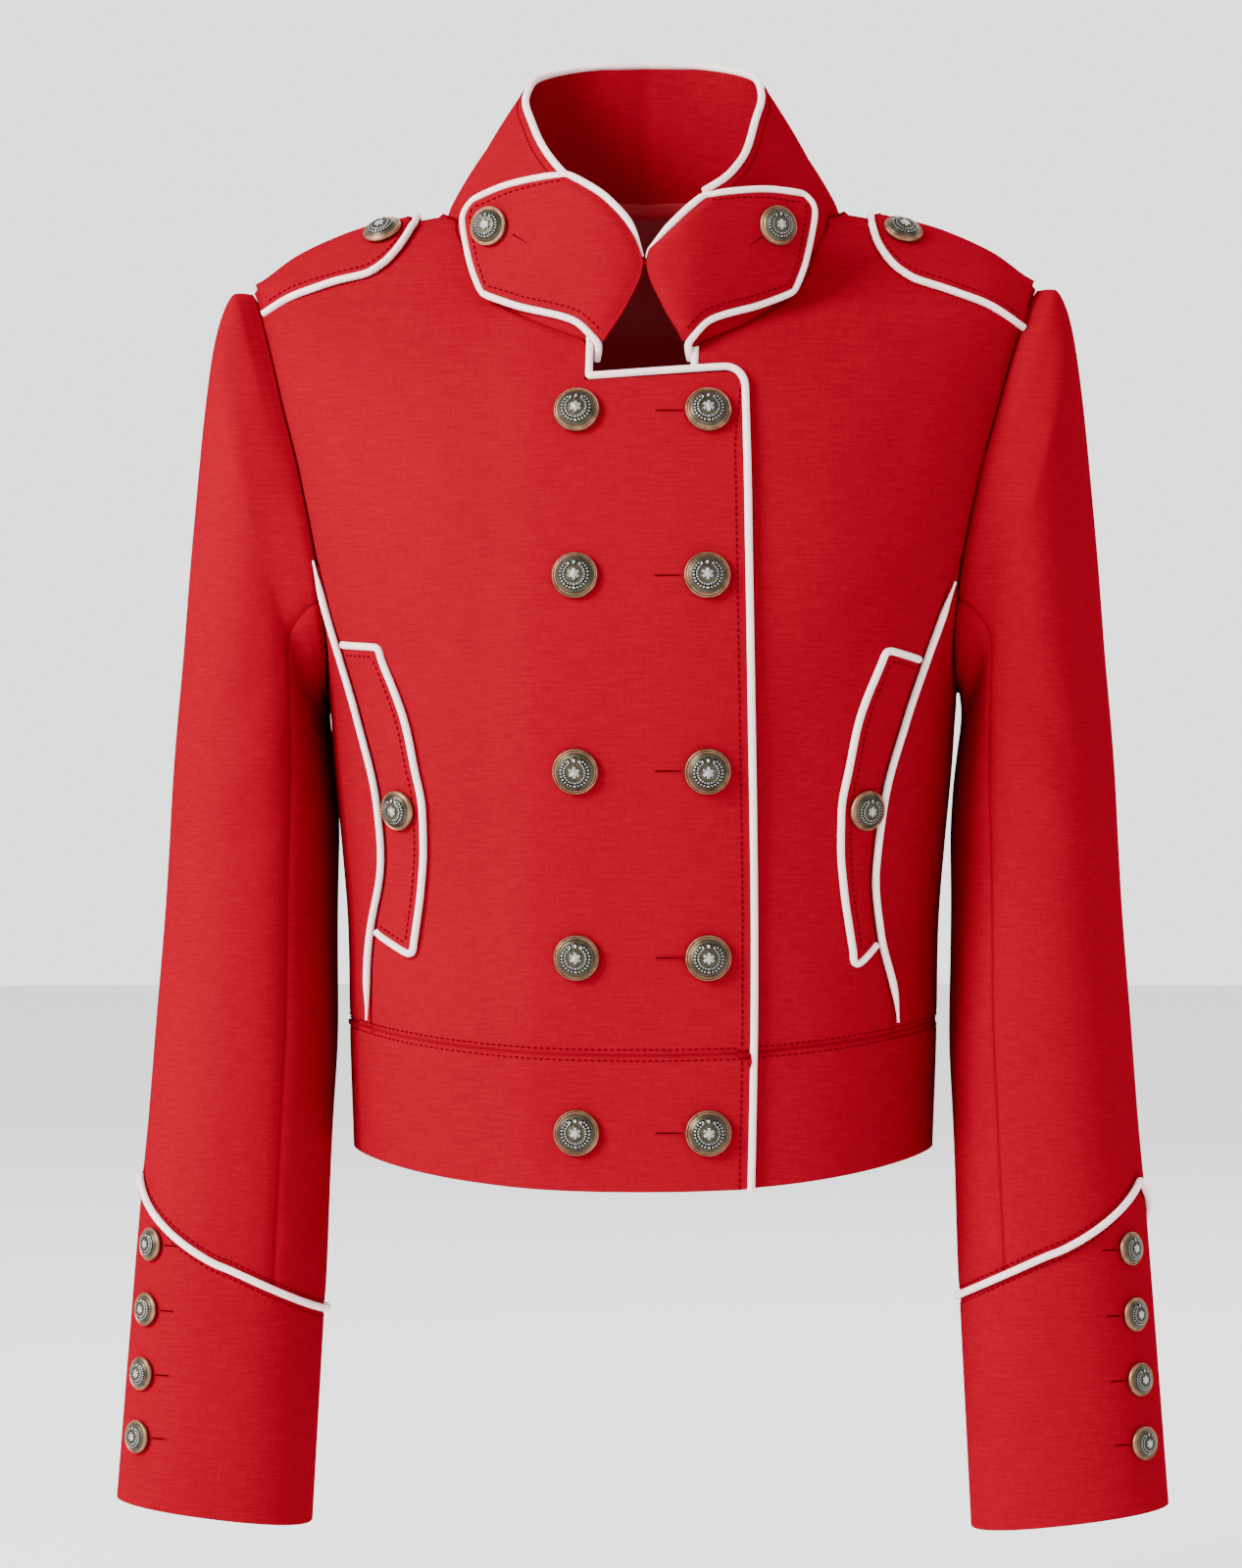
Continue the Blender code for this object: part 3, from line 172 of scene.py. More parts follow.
class Table:
    """Rows of named columns, read at values of the first one on a smooth curve."""

    def __init__(self, columns, *rows):
        self.Row = namedtuple("Row", columns)
        self.values = np.array(sorted(rows), float)
        self.keys = self.values[:, 0]
        slopes = np.diff(self.values, axis=0) / np.diff(self.keys)[:, None]
        same_way = slopes[:-1] * slopes[1:] > 0
        mean = 2.0 * slopes[:-1] * slopes[1:] / np.where(same_way, slopes[:-1] + slopes[1:], 1.0)
        self.slopes = np.vstack([slopes[:1], np.where(same_way, mean, 0.0), slopes[-1:]])

    def __call__(self, key):
        key = np.clip(np.asarray(key, float), self.keys[0], self.keys[-1])
        i = np.clip(np.searchsorted(self.keys, key, side="right") - 1, 0, len(self.keys) - 2)
        step = self.keys[i + 1] - self.keys[i]
        s = ((key - self.keys[i]) / step)[..., None]
        step = step[..., None]
        low, high = self.values[i], self.values[i + 1]
        read = low + (high - low) * s * s * (3.0 - 2.0 * s)
        first, last = self.slopes[i] * step, self.slopes[i + 1] * step
        read = read + first * s * (1 - s) ** 2 - last * s * s * (1 - s)
        return self.Row(*np.moveaxis(read, -1, 0))


RINGS = Table(
    "z half_width front back power",
    (0.0000, 0.0910, 0.028, 0.038, 1.50),
    (-0.0030, 0.1080, 0.033, 0.043, 1.50),
    (-0.0095, 0.1370, 0.040, 0.052, 1.50),
    (-0.0145, 0.1510, 0.044, 0.058, 1.50),
    (-0.0225, 0.1680, 0.050, 0.066, 1.50),
    (-0.0325, 0.1836, 0.058, 0.074, 1.50),
    (-0.0386, 0.1925, 0.062, 0.078, 1.52),
    (-0.0600, 0.1965, 0.083, 0.094, 1.70),
    (-0.0900, 0.1925, 0.101, 0.105, 2.00),
    (-0.1300, 0.1815, 0.113, 0.113, 2.20),
    (-0.1700, 0.1700, 0.120, 0.116, 2.35),
    (-0.2100, 0.1590, 0.1235, 0.115, 2.40),
    (-0.2355, 0.1535, 0.1225, 0.112, 2.40),
    (-0.2700, 0.1505, 0.1175, 0.107, 2.40),
    (-0.3100, 0.1468, 0.1115, 0.102, 2.40),
    (-0.3500, 0.1443, 0.1075, 0.0985, 2.40),
    (-0.3950, 0.1433, 0.1065, 0.0975, 2.40),
    (-0.4750, 0.1410, 0.1080, 0.0990, 2.40),
)
SIDE_FRONT_SEAM = Table(
    "z x",
    (-0.1690, 0.1552),
    (-0.1850, 0.1503),
    (-0.2000, 0.1455),
    (-0.2220, 0.1380),
    (-0.2500, 0.1290),
    (-0.2900, 0.1190),
    (-0.3200, 0.1165),
    (-0.3500, 0.1205),
    (-0.3800, 0.1250),
    (-0.4700, 0.1290),
)
# How far both side-front seams lie towards the wearer's right, as worn
SEAM_SHIFT = Table(
    "z x",
    (-0.1690, 0.0),
    (-0.2000, 0.0018),
    (-0.3070, 0.0036),
    (-0.3520, 0.0062),
    (-0.3900, 0.0032),
    (-0.4700, 0.0030),
)
LAP_EDGE = Table("z x", (-0.0855, 0.0494), (-0.1500, 0.0514), (-0.3700, 0.0539), (-0.4750, 0.0524))
NECK_FRONT = Table(
    "share turn z",
    (0.00, 8.0, -0.0740),
    (0.25, 19.0, -0.0610),
    (0.50, 28.5, -0.0440),
    (0.70, 39.5, -0.0180),
    (0.86, 55.0, -0.0050),
    (1.00, 90.0, 0.0000),
)
NECK_BACK = Table(
    "share turn z",
    (0.00, 90.0, 0.0000),
    (0.40, 128.0, -0.0030),
    (0.70, 155.0, -0.0090),
    (1.00, 180.0, -0.0120),
)
SLEEVE = Table(
    "along outer_x outer_z inner_x inner_z middle_y half_y",
    (0.00, 0.1925, -0.0386, 0.1535, -0.2355, 0.000, 0.060),
    (0.03, 0.2005, -0.0390, 0.1552, -0.2385, 0.000, 0.062),
    (0.06, 0.2065, -0.0490, 0.1553, -0.2430, 0.000, 0.063),
    (0.11, 0.2112, -0.0720, 0.1550, -0.2510, 0.000, 0.063),
    (0.19, 0.2155, -0.1060, 0.1535, -0.2640, -0.001, 0.062),
    (0.29, 0.2196, -0.1550, 0.1514, -0.2850, -0.002, 0.061),
    (0.39, 0.2238, -0.2050, 0.1502, -0.3080, -0.004, 0.060),
    (0.50, 0.2282, -0.2600, 0.1500, -0.3330, -0.007, 0.058),
    (0.62, 0.2315, -0.3160, 0.1495, -0.3640, -0.011, 0.056),
    (0.73, 0.2348, -0.3720, 0.1490, -0.4000, -0.016, 0.053),
    (0.85, 0.2388, -0.4280, 0.1503, -0.4400, -0.021, 0.050),
    (1.00, 0.2438, -0.4900, 0.1522, -0.4930, -0.026, 0.045),
    (1.30, 0.2536, -0.6247, 0.1590, -0.6363, -0.035, 0.035),
)
SLEEVE_POWER, SLEEVE_INNER_POWER, SLEEVE_END = 2.15, 2.3, 1.3
SLEEVE_ROWS = (0.0, 0.03, 0.06, 0.11, 0.19, 0.29, 0.40, 0.52, 0.64, 0.76)
SLEEVE_SEAMS = (8, 17)
# The cuff seams of the wearer's right and left sleeve: highest place, fall, its shape, highest step
CUFF_SEAMS = Table(
    "side peak_z drop power peak_step",
    (-1, -0.4690, 0.0655, 0.48, 1.0),
    (1, -0.4690, 0.0590, 0.48, 1.7),
)
COLLAR_EDGE = Table(
    "share x y z",
    (0.00, 0.0000, -0.0942, -0.0350),
    (0.12, 0.0170, -0.0880, -0.0085),
    (0.22, 0.0385, -0.0745, 0.0080),
    (0.32, 0.0500, -0.0420, 0.0260),
    (0.40, 0.0555, -0.0230, 0.0400),
    (0.50, 0.0598, -0.0020, 0.0545),
    (0.60, 0.0575, 0.0190, 0.0660),
    (0.72, 0.0435, 0.0360, 0.0730),
    (0.85, 0.0240, 0.0450, 0.0765),
    (1.00, 0.0000, 0.0480, 0.0775),
)
COLLAR_SHARES = (0.0, 0.10, 0.22, 0.36, 0.50, 0.62, 0.75, 0.88, 1.0)
TAB_INNER = Table(
    "share x z",
    (0.00, 0.0194, -0.0722),
    (0.25, 0.0078, -0.0540),
    (0.45, 0.0008, -0.0350),
    (0.55, 0.0050, -0.0240),
    (0.78, 0.0190, -0.0085),
    (1.00, 0.0370, 0.0042),
)
TAB_TOP = Table("share x z", (0.0, 0.0370, 0.0042), (0.5, 0.0612, 0.0010), (1.0, 0.0795, -0.0050))
TAB_OUTER = Table(
    "share x z",
    (0.00, 0.0738, -0.0452),
    (0.40, 0.0792, -0.0300),
    (0.75, 0.0827, -0.0120),
    (1.00, 0.0795, -0.0050),
)
TAB_LOWER = Table(
    "share x z",
    (0.00, 0.0194, -0.0722),
    (0.22, 0.0320, -0.0600),
    (0.60, 0.0570, -0.0520),
    (1.00, 0.0738, -0.0452),
)
# The upper part of each tab as it was folded: raised, raised more outwards and drawn inwards
TAB_RAISE, TAB_TILT = {1: -0.0009, -1: 0.0025}, {1: 0.278, -1: -0.020}
TAB_DRAW = {1: 0.14, -1: 0.0}
TAB_TILT_X, TAB_CORNER_X, TAB_TILT_Z, TAB_TILT_FADE = 0.0615, 0.0795, -0.0350, 0.0300
FLAP_FRONT = Table(
    "z x",
    (-0.2190, 0.1195),
    (-0.2520, 0.1070),
    (-0.2720, 0.1030),
    (-0.2925, 0.0993),
    (-0.3100, 0.0990),
    (-0.3300, 0.1005),
    (-0.3480, 0.1030),
    (-0.3598, 0.1048),
)
FLAP_SHIFT = 0.0016
# Heights of the ends of the wearer's right and left flap, at the seam and at the front edge
FLAP_ENDS = Table(
    "side seam_top seam_bottom front_top tip",
    (-1, -0.2155, -0.3490, -0.2172, -0.3590),
    (1, -0.2230, -0.3545, -0.2190, -0.3635),
)
FLAP_FROM_SEAM = 0.0030
STRAP_DROP = Table(
    "x right left",
    (0.1870, 0.0160, 0.0250),
    (0.1760, 0.0175, 0.0258),
    (0.1665, 0.0195, 0.0268),
    (0.1500, 0.0225, 0.0285),
    (0.1335, 0.0245, 0.0290),
    (0.1255, 0.0215, 0.0262),
    (0.1200, 0.0165, 0.0215),
    (0.1150, 0.0090, 0.0135),
    (0.1125, 0.0030, 0.0040),
)
STRAP_BACK, STRAP_LIFT, STRAP_SETTLE = 0.75, 0.0030, 0.0012
STRAP_NECK_X, STRAP_SLEEVE_X, STRAP_SLEEVE_SLANT = 0.1125, 0.1900, 0.0055

# Buttons: diameters and places
FRONT_BUTTON, SMALL_BUTTON, CUFF_BUTTON = 0.0218, 0.0192, 0.0160
FRONT_BUTTON_XS = (("right", -0.0263), ("left", 0.0345))
FRONT_BUTTON_ZS = (-0.1066, -0.1837, -0.2736, -0.3610, -0.4429)
TAB_BUTTON = {1: (0.0655, -0.0160), -1: (0.0702, -0.0152)}
FLAP_BUTTON = (0.1085, -0.2920)
STRAP_BUTTON_X, STRAP_BUTTON_ACROSS = 0.1255, -0.45
CUFF_BUTTON_STEP = 2.8
CUFF_BUTTON_ZS = (-0.5008, -0.5320, -0.5628, -0.5930)
BUTTON_SEAT = 0.0004


# ------------------------------------------------ the body form


def stacked(x, y, z):
    return np.stack(np.broadcast_arrays(x, y, z), axis=-1)


def body(turn, z):
    """Points of the body form. turn 0 is the front, +90 degrees the wearer's left, 180 the back."""
    turn, z = np.broadcast_arrays(np.asarray(turn, float), np.asarray(z, float))
    ring = RINGS(z)
    across, along = np.sin(turn), np.cos(turn)
    bend = 2.0 / ring.power
    x = np.sign(across) * ring.half_width * np.abs(across) ** bend
    reach = np.abs(along) ** bend
    nape = NAPE_RISE * reach ** 2 * smoothstep(1.0 + z / NAPE_FADE)
    front = along > 0.0
    return stacked(x, np.where(front, -ring.front, ring.back) * reach, np.where(front, z, z + nape))


def unit(vectors):
    return vectors / np.maximum(np.linalg.norm(vectors, axis=-1, keepdims=True), 1e-12)


def body_normal(turn, z):
    small_turn, small_z = 0.02, 0.0015
    round_body = body(turn + small_turn, z) - body(turn - small_turn, z)
    up = body(turn, np.minimum(z + small_z, 0.0)) - body(turn, np.asarray(z) - small_z)
    return unit(np.cross(round_body, up))


def turn_at(x, z):
    """The turn on the front half at which the form is x from the middle."""
    ring = RINGS(z)
    share = np.minimum(1.0, np.abs(x) / ring.half_width) ** (ring.power / 2.0)
    return np.sign(x) * np.arcsin(share)


SHOULDER_HEIGHTS = np.linspace(0.0, SHOULDER_TIP_Z, 400)
SHOULDER_REACHES = RINGS(SHOULDER_HEIGHTS).half_width


def shoulder_z(x):
    return np.interp(x, SHOULDER_REACHES, SHOULDER_HEIGHTS)


def armhole(step):
    """Turn and height of the armhole: step 0 is the shoulder tip, then down the front and round."""
    angle = math.tau * np.asarray(step, float) / AROUND
    across, up = np.sin(angle), np.cos(angle)
    bend = 2.0 / ARMHOLE_POWER
    reach = np.where(across > 0.0, ARMHOLE_FRONT, ARMHOLE_BACK)
    turn = math.pi / 2.0 - reach * np.sign(across) * np.abs(across) ** bend
    middle, half = 0.5 * (SHOULDER_TIP_Z + ARMPIT_Z), 0.5 * (SHOULDER_TIP_Z - ARMPIT_Z)
    return turn, middle + half * np.sign(up) * np.abs(up) ** bend


def band_seam_z(turn):
    return BAND_SEAM_SIDE_Z - BAND_SEAM_DIP * np.maximum(0.0, np.cos(turn)) ** 2


def hem_z(turn):
    return HEM_SIDE_Z - HEM_DIP * np.maximum(0.0, np.cos(turn)) ** 2


def closure_shift(x):
    return CLOSURE_SHIFT * (1.0 - smoothstep(np.abs(x) / CLOSURE_FADE))


def lap_lift(x):
    return LAP_LIFT * smoothstep((UNDER_EDGE_X + LAP_BLEND - x) / LAP_BLEND)


def mirrored_if(side, points):
    """The points on the wearer's left, or in the mirror for the right side."""
    return points if side > 0 else points * np.array((-1.0, 1.0, 1.0))


# ------------------------------------------------ nets of cloth

# Cloth drawn down towards a seam, towards a free edge and towards a fold: depth and reach
SEAM_DEPTH, SEAM_REACH = 0.0007, 0.0030
EDGE_ROLL = (0.0005, 0.0020)
# The widest rounding of a cloth edge, as a share of the cloth's thickness
FOLD_SHARE = 0.42


def spaced(cells, density, near=(0.03, 0.09)):
    """Values from 0 to the number of cells, evenly spaced, with more lines beside both ends."""
    even = np.linspace(0.0, cells, cells * density + 1)
    extra = np.array(near)
    return np.unique(np.round(np.concatenate([even, extra, cells - extra]), 6))


def normals_of(points, outward):
    """Directions square to a net of points; outward is +1 or -1."""
    round_it, along_it = np.gradient(points, axis=0), np.gradient(points, axis=1)
    return unit(np.cross(round_it, along_it)) * outward


def runs_of(points):
    """Distances along the net's rows and columns from their first points."""
    over = np.linalg.norm(np.diff(points, axis=0), axis=-1)
    up = np.linalg.norm(np.diff(points, axis=1), axis=-1)
    across = np.vstack([np.zeros((1, points.shape[1])), np.cumsum(over, axis=0)])
    along = np.hstack([np.zeros((points.shape[0], 1)), np.cumsum(up, axis=1)])
    return across, along


def edge_distances(points):
    """For each side of a net, how far each point is from it along the cloth."""
    across, along = runs_of(points)
    return {
        "left": across, "right": across[-1:] - across,
        "bottom": along, "top": along[:, -1:] - along}


def rolled(points, normals, seams, depth=SEAM_DEPTH, reach=SEAM_REACH):
    """The cloth drawn down into the seams at the named sides."""
    away = edge_distances(points)
    for side in seams:
        points = points - normals * (depth * np.exp(-((away[side] / reach) ** 2)))[..., None]
    return points


# Soft creases: ends on the +X half of the form, half width and height; minus is a trough
Crease = namedtuple("Crease", "side start end width height")
CREASES = (
    Crease("front", (0.150, -0.176), (0.108, -0.196), 0.0085, -0.0011),
    Crease("front", (0.152, -0.196), (0.118, -0.224), 0.0070, 0.0008),
    Crease("front", (0.132, -0.100), (0.112, -0.165), 0.0150, -0.0010),
    Crease("front", (0.070, -0.060), (0.110, -0.092), 0.0120, -0.0007),
    Crease("front", (0.090, -0.372), (0.060, -0.352), 0.0110, 0.0007),
    Crease("front", (0.085, -0.236), (0.060, -0.300), 0.0160, -0.0008),
    Crease("back", (0.150, -0.170), (0.100, -0.205), 0.0100, -0.0016),
    Crease("back", (0.146, -0.200), (0.105, -0.236), 0.0090, 0.0012),
    Crease("back", (0.125, -0.300), (0.045, -0.322), 0.0110, -0.0013),
    Crease("back", (0.110, -0.336), (0.030, -0.346), 0.0090, 0.0011),
    Crease("back", (0.118, -0.366), (0.062, -0.356), 0.0080, -0.0010),
    Crease("back", (0.060, -0.075), (0.100, -0.150), 0.0180, -0.0012),
    Crease("back", (0.012, -0.250), (0.016, -0.380), 0.0170, -0.0010),
)
ARM_CREASES = (
    Crease("front", (0.176, -0.226), (0.204, -0.262), 0.0085, -0.0016),
    Crease("front", (0.170, -0.262), (0.205, -0.290), 0.0080, 0.0012),
    Crease("front", (0.168, -0.300), (0.206, -0.312), 0.0075, -0.0014),
    Crease("front", (0.172, -0.150), (0.180, -0.215), 0.0100, -0.0010),
    Crease("front", (0.176, -0.420), (0.214, -0.404), 0.0100, -0.0008),
    Crease("back", (0.170, -0.240), (0.212, -0.268), 0.0090, -0.0020),
    Crease("back", (0.168, -0.276), (0.214, -0.300), 0.0085, 0.0016),
    Crease("back", (0.170, -0.312), (0.210, -0.326), 0.0080, -0.0018),
    Crease("back", (0.178, -0.346), (0.206, -0.350), 0.0080, 0.0010),
    Crease("back", (0.182, -0.150), (0.176, -0.220), 0.0110, -0.0014),
)


def creased(points, normals, creases, fade=None):
    """Cloth with soft troughs and ridges, a little different in strength on the two halves."""
    height = np.zeros(points.shape[:2])
    x, y, z = np.abs(points[..., 0]), points[..., 1], points[..., 2]
    for index, crease in enumerate(creases):
        on_side = smoothstep((y if crease.side == "back" else -y) / 0.03)
        (x0, z0), (x1, z1) = crease.start, crease.end
        share = ((x - x0) * (x1 - x0) + (z - z0) * (z1 - z0)) / ((x1 - x0) ** 2 + (z1 - z0) ** 2)
        along = np.clip(share, 0.0, 1.0)
        off = np.hypot(x - lerp(x0, x1, along), z - lerp(z0, z1, along))
        wander = 1.0 + 0.25 * np.sin(5.0 * along + 2.1 * index)
        taper = 0.35 + 0.65 * np.sin(math.pi * np.clip(0.12 + 0.8 * along, 0.0, 1.0))
        uneven = np.where(points[..., 0] > 0, 1.0, 0.75 + 0.2 * math.sin(3.0 * index))
        hollow = crease.height * np.exp(-((off / (crease.width * wander)) ** 2))
        height += hollow * taper * on_side * uneven
    height += 0.0004 * np.sin(38.0 * z + 21.0 * x) * np.sin(31.0 * x - 17.0 * z + 1.3)
    if fade is not None:
        height = height * fade
    return points + normals * height[..., None]


class Net:
    """A finished net of cloth: its outer points, their directions and which way is out."""

    def __init__(self, points, outward, seams):
        self.points = points
        self.outward = outward
        self.seams = seams
        self.normals = normals_of(points, outward)
        self.away = edge_distances(points)

    def inset(self, side, distance, skip=0.0):
        """Points and directions at a distance from one side, leaving out skip at its ends."""
        level = self.away[side]
        walk = self.away["bottom" if side in ("left", "right") else "left"]
        back = self.away["top" if side in ("left", "right") else "right"]
        points, normals = [], []
        count = level.shape[1] if side in ("left", "right") else level.shape[0]
        for k in range(count):
            line = (slice(None), k) if side in ("left", "right") else (k, slice(None))
            order = np.argsort(level[line])
            depth = level[line][order]
            reach = np.interp(distance, depth, walk[line][order])
            rest = np.interp(distance, depth, back[line][order])
            if reach < skip or rest < skip:
                continue
            for found, values in ((points, self.points), (normals, self.normals)):
                near = values[line][order]
                found.append([np.interp(distance, depth, near[:, axis]) for axis in range(3)])
        return np.array(points), unit(np.array(normals))


def as_data(mesh, name):
    """The mesh as a data block."""
    data = bpy.data.meshes.new(name)
    mesh.to_mesh(data)
    mesh.free()
    return data


def finish_piece(name, data, finish, slot, nodes):
    """A piece of the jacket, on its body, in place of the named solids."""
    made = bpy.data.objects.new(name, data)
    bpy.context.scene.collection.objects.link(made)
    data.materials.append(finish)
    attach(made, BODY)
    if nodes:
        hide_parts(*nodes)
    return made


def cloth(node, net, thickness, finish, slot="red_wool", keep=None, closed=False, level=True):
    """Cloth in place of a solid: a grid moved onto a net, thickened inwards, with rounded edges.

    keep says which cells are cloth, closed joins the first and last lines, and level runs the weave
    by height and not along the net.
    """
    columns, rows = net.points.shape[0] - 1, net.points.shape[1] - 1
    mesh = bmesh.new()
    bmesh.ops.create_grid(mesh, x_segments=columns, y_segments=rows, size=0.5)
    across, along = runs_of(net.points)
    widths, heights = across[:, rows // 2], along[columns // 2]
    unfolded = mesh.loops.layers.uv.new("cloth")
    # How far each point lies from the nearest seam; the wool reads it to paint shade into the seams
    seam = mesh.verts.layers.float.new("seam")
    far = np.ones((columns + 1, rows + 1))
    nearest = np.minimum.reduce([far, *(net.away[side] for side in net.seams)])
    at = {}
    for vert in mesh.verts:
        at[vert] = round((vert.co.x + 0.5) * columns), round((vert.co.y + 0.5) * rows)
    for face in mesh.faces:
        for loop in face.loops:
            i, j = at[loop.vert]
            loop[unfolded].uv = (widths[i], net.points[i, j, 2] if level else heights[j])
    for vert, (i, j) in at.items():
        vert.co = net.points[i, j]
        vert[seam] = nearest[i, j]
    if keep is not None:
        away = [f for f in mesh.faces if not keep(*np.mean([at[v] for v in f.verts], axis=0))]
        bmesh.ops.delete(mesh, geom=away, context="FACES")
    if closed:
        bmesh.ops.remove_doubles(mesh, verts=mesh.verts, dist=1e-6)
    if net.outward < 0:
        bmesh.ops.reverse_faces(mesh, faces=mesh.faces)
    data = as_data(mesh, node + "_cloth")
    data.shade_smooth()
    made = finish_piece(node + "_cloth", data, finish, slot, [node])
    wall = made.modifiers.new("wall", "SOLIDIFY")
    wall.thickness = thickness
    wall.offset = -1.0
    rounding = made.modifiers.new("edge", "BEVEL")
    rounding.width = min(sizes().fold, thickness * FOLD_SHARE)
    rounding.segments = 3
    rounding.limit_method = "ANGLE"
    rounding.angle_limit = math.radians(60.0)
    rounding.harden_normals = False
    return made


# ------------------------------------------------ materials


class Wire:
    """An output in a material. Arithmetic on it adds Math nodes."""

    def __init__(self, graph, socket):
        self.graph = graph
        self.socket = socket

    def maths(self, operation, first, second):
        return self.graph.add("ShaderNodeMath", {"operation": operation}, {0: first, 1: second})

    def __add__(self, other):
        return self.maths("ADD", self, other)

    __radd__ = __add__

    def __sub__(self, other):
        return self.maths("SUBTRACT", self, other)

    def __rsub__(self, other):
        return self.maths("SUBTRACT", other, self)

    def __mul__(self, other):
        return self.maths("MULTIPLY", self, other)

    __rmul__ = __mul__


class Graph:
    """The nodes of one material with a Principled surface."""

    def __init__(self, name):
        self.material = bpy.data.materials.new(name)
        self.material.use_nodes = True
        self.tree = self.material.node_tree
        self.surface = self.tree.nodes["Principled BSDF"]

    def add(self, kind, settings, inputs, output=0):
        """A node of the kind, set first and then fed, as the wire of one of its outputs."""
        node = self.tree.nodes.new(kind)
        for key, value in settings.items():
            setattr(node, key, value)
        for key, value in inputs.items():
            self.feed(node.inputs[key], value)
        return Wire(self, node.outputs[output])

    def feed(self, socket, value):
        if isinstance(value, Wire):
            self.tree.links.new(value.socket, socket)
        else:
            socket.default_value = value

    def set(self, **values):
        """Feeds the surface's sockets, with _ for each space in a socket's name."""
        for key, value in values.items():
            self.feed(self.surface.inputs[key.replace("_", " ")], value)

    def mix(self, factor, low, high):
        return self.add("ShaderNodeMix", {"data_type": "RGBA"}, {0: factor, 6: low, 7: high}, 2)

    def stretched(self, vector, scale):
        return self.add("ShaderNodeVectorMath", {"operation": "MULTIPLY"}, {0: vector, 1: scale})

    def noise(self, vector, scale, detail=2.0, roughness=0.5):
        inputs = {"Vector": vector, "Scale": scale, "Detail": detail, "Roughness": roughness}
        return self.add("ShaderNodeTexNoise", {}, inputs)

    def between(self, value, low, high):
        """0 up to low, 1 from high and a soft rise between them."""
        inputs = {0: value, 1: low, 2: high, 3: 0.0, 4: 1.0}
        return self.add("ShaderNodeMapRange", {"interpolation_type": "SMOOTHSTEP"}, inputs)

    def bump(self, height, strength, distance):
        inputs = {"Height": height, "Strength": strength, "Distance": distance}
        return self.add("ShaderNodeBump", {}, inputs)

    def attribute(self, name):
        return self.add("ShaderNodeAttribute", {"attribute_name": name}, {}, 2)

    def cloth_uv(self):
        return self.add("ShaderNodeUVMap", {"uv_map": "cloth"}, {})

    def place(self):
        return self.add("ShaderNodeTexCoord", {}, {}, 3)


def shade(colour, share):
    return (*(channel * share for channel in colour), 1.0)


def thread_finish(name, colour, low, high, scale, rough, rough_gain):
    """A dull twisted yarn, from low to high shares of its colour."""
    graph = Graph(name)
    twist = graph.noise(graph.place(), scale, 1.0, 0.5)
    graph.set(
        Base_Color=graph.mix(twist, shade(colour, low), shade(colour, high)),
        Roughness=rough + rough_gain * twist, Specular_IOR_Level=0.0)
    return graph.material


def wool():
    """Smooth felted red wool: faint slubs along the weft, fine fibres, painted shade in the seams.
    """
    graph = Graph("red_wool")
    unfolded = graph.cloth_uv()
    place = graph.place()
    slubs = graph.noise(graph.stretched(unfolded, (70.0, 950.0, 1.0)), 1.0, 3.0, 0.6)
    warp = graph.noise(graph.stretched(unfolded, (1150.0, 130.0, 1.0)), 1.0, 2.0, 0.5)
    fibre = graph.noise(place, 2600.0, 2.0, 0.7)
    cloud = graph.noise(place, 9.0, 2.0, 0.5)
    tone = graph.between(slubs * 0.55 + warp * 0.25 + cloud * 0.20, 0.36, 0.64)
    colour = graph.mix(tone, shade(colours().wool, 0.90), shade(colours().wool, 1.08))
    # Painted seam shade: within 1.6 mm of a seam the wool darkens to 0.72 of its red, where shade
    # falls
    wear_and_seam_shade = graph.between(graph.attribute("seam"), 0.0, 0.0016)
    colour = graph.mix(wear_and_seam_shade, shade(colours().wool, 0.72), colour)
    height = slubs * 0.6 + warp * 0.3 + fibre * 0.5
    graph.set(
        Base_Color=colour, Roughness=0.80 + 0.12 * fibre, Specular_IOR_Level=0.0,
        Normal=graph.bump(height, 0.35, 0.00035))
    return graph.material


def satin():
    """Red satin: smooth, with fine lengthwise floats."""
    graph = Graph("satin_lining")
    unfolded = graph.cloth_uv()
    floats = graph.noise(graph.stretched(unfolded, (60.0, 2200.0, 1.0)), 1.0, 2.0, 0.5)
    ripple = graph.noise(graph.place(), 38.0, 2.0, 0.5)
    colour = graph.mix(floats, shade(colours().satin, 0.85), shade(colours().satin, 1.15))
    graph.set(
        Base_Color=colour, Roughness=0.42 + 0.14 * floats, Specular_IOR_Level=0.12,
        Normal=graph.bump(ripple, 0.5, 0.0015))
    return graph.material


def cord_cloth():
    """Off-white bias cloth round a cord: fine ribs, a little darker in their hollows."""
    graph = Graph("white_piping")
    place = graph.place()
    grain = graph.noise(place, 1500.0, 2.0, 0.6)
    cloud = graph.noise(place, 60.0, 2.0, 0.5)
    tone = graph.between(grain * 0.6 + cloud * 0.4, 0.35, 0.65)
    colour = graph.mix(tone, shade(colours().piping, 0.86), shade(colours().piping, 1.05))
    graph.set(
        Base_Color=colour, Roughness=0.62 + 0.15 * grain, Sheen_Weight=0.10,
        Normal=graph.bump(grain, 0.30, 0.0003))
    return graph.material


def thread_cloth():
    """The thread of the topstitching, darker than the wool."""
    return thread_finish("red_thread", colours().thread, 0.75, 1.20, 2400.0, 0.55, 0.2)


def lip_cloth():
    """The thread round a buttonhole, in the wool's own red."""
    return thread_finish("buttonhole_thread", colours().wool, 0.85, 1.25, 1800.0, 0.6, 0.2)


def slit_shadow():
    """The dark inside of a buttonhole's slit."""
    graph = Graph("slit_shadow")
    grain = graph.noise(graph.place(), 900.0)
    colour = graph.mix(grain, shade(colours().wool, 0.14), shade(colours().wool, 0.22))
    graph.set(Base_Color=colour, Roughness=0.9, Specular_IOR_Level=0.0)
    return graph.material


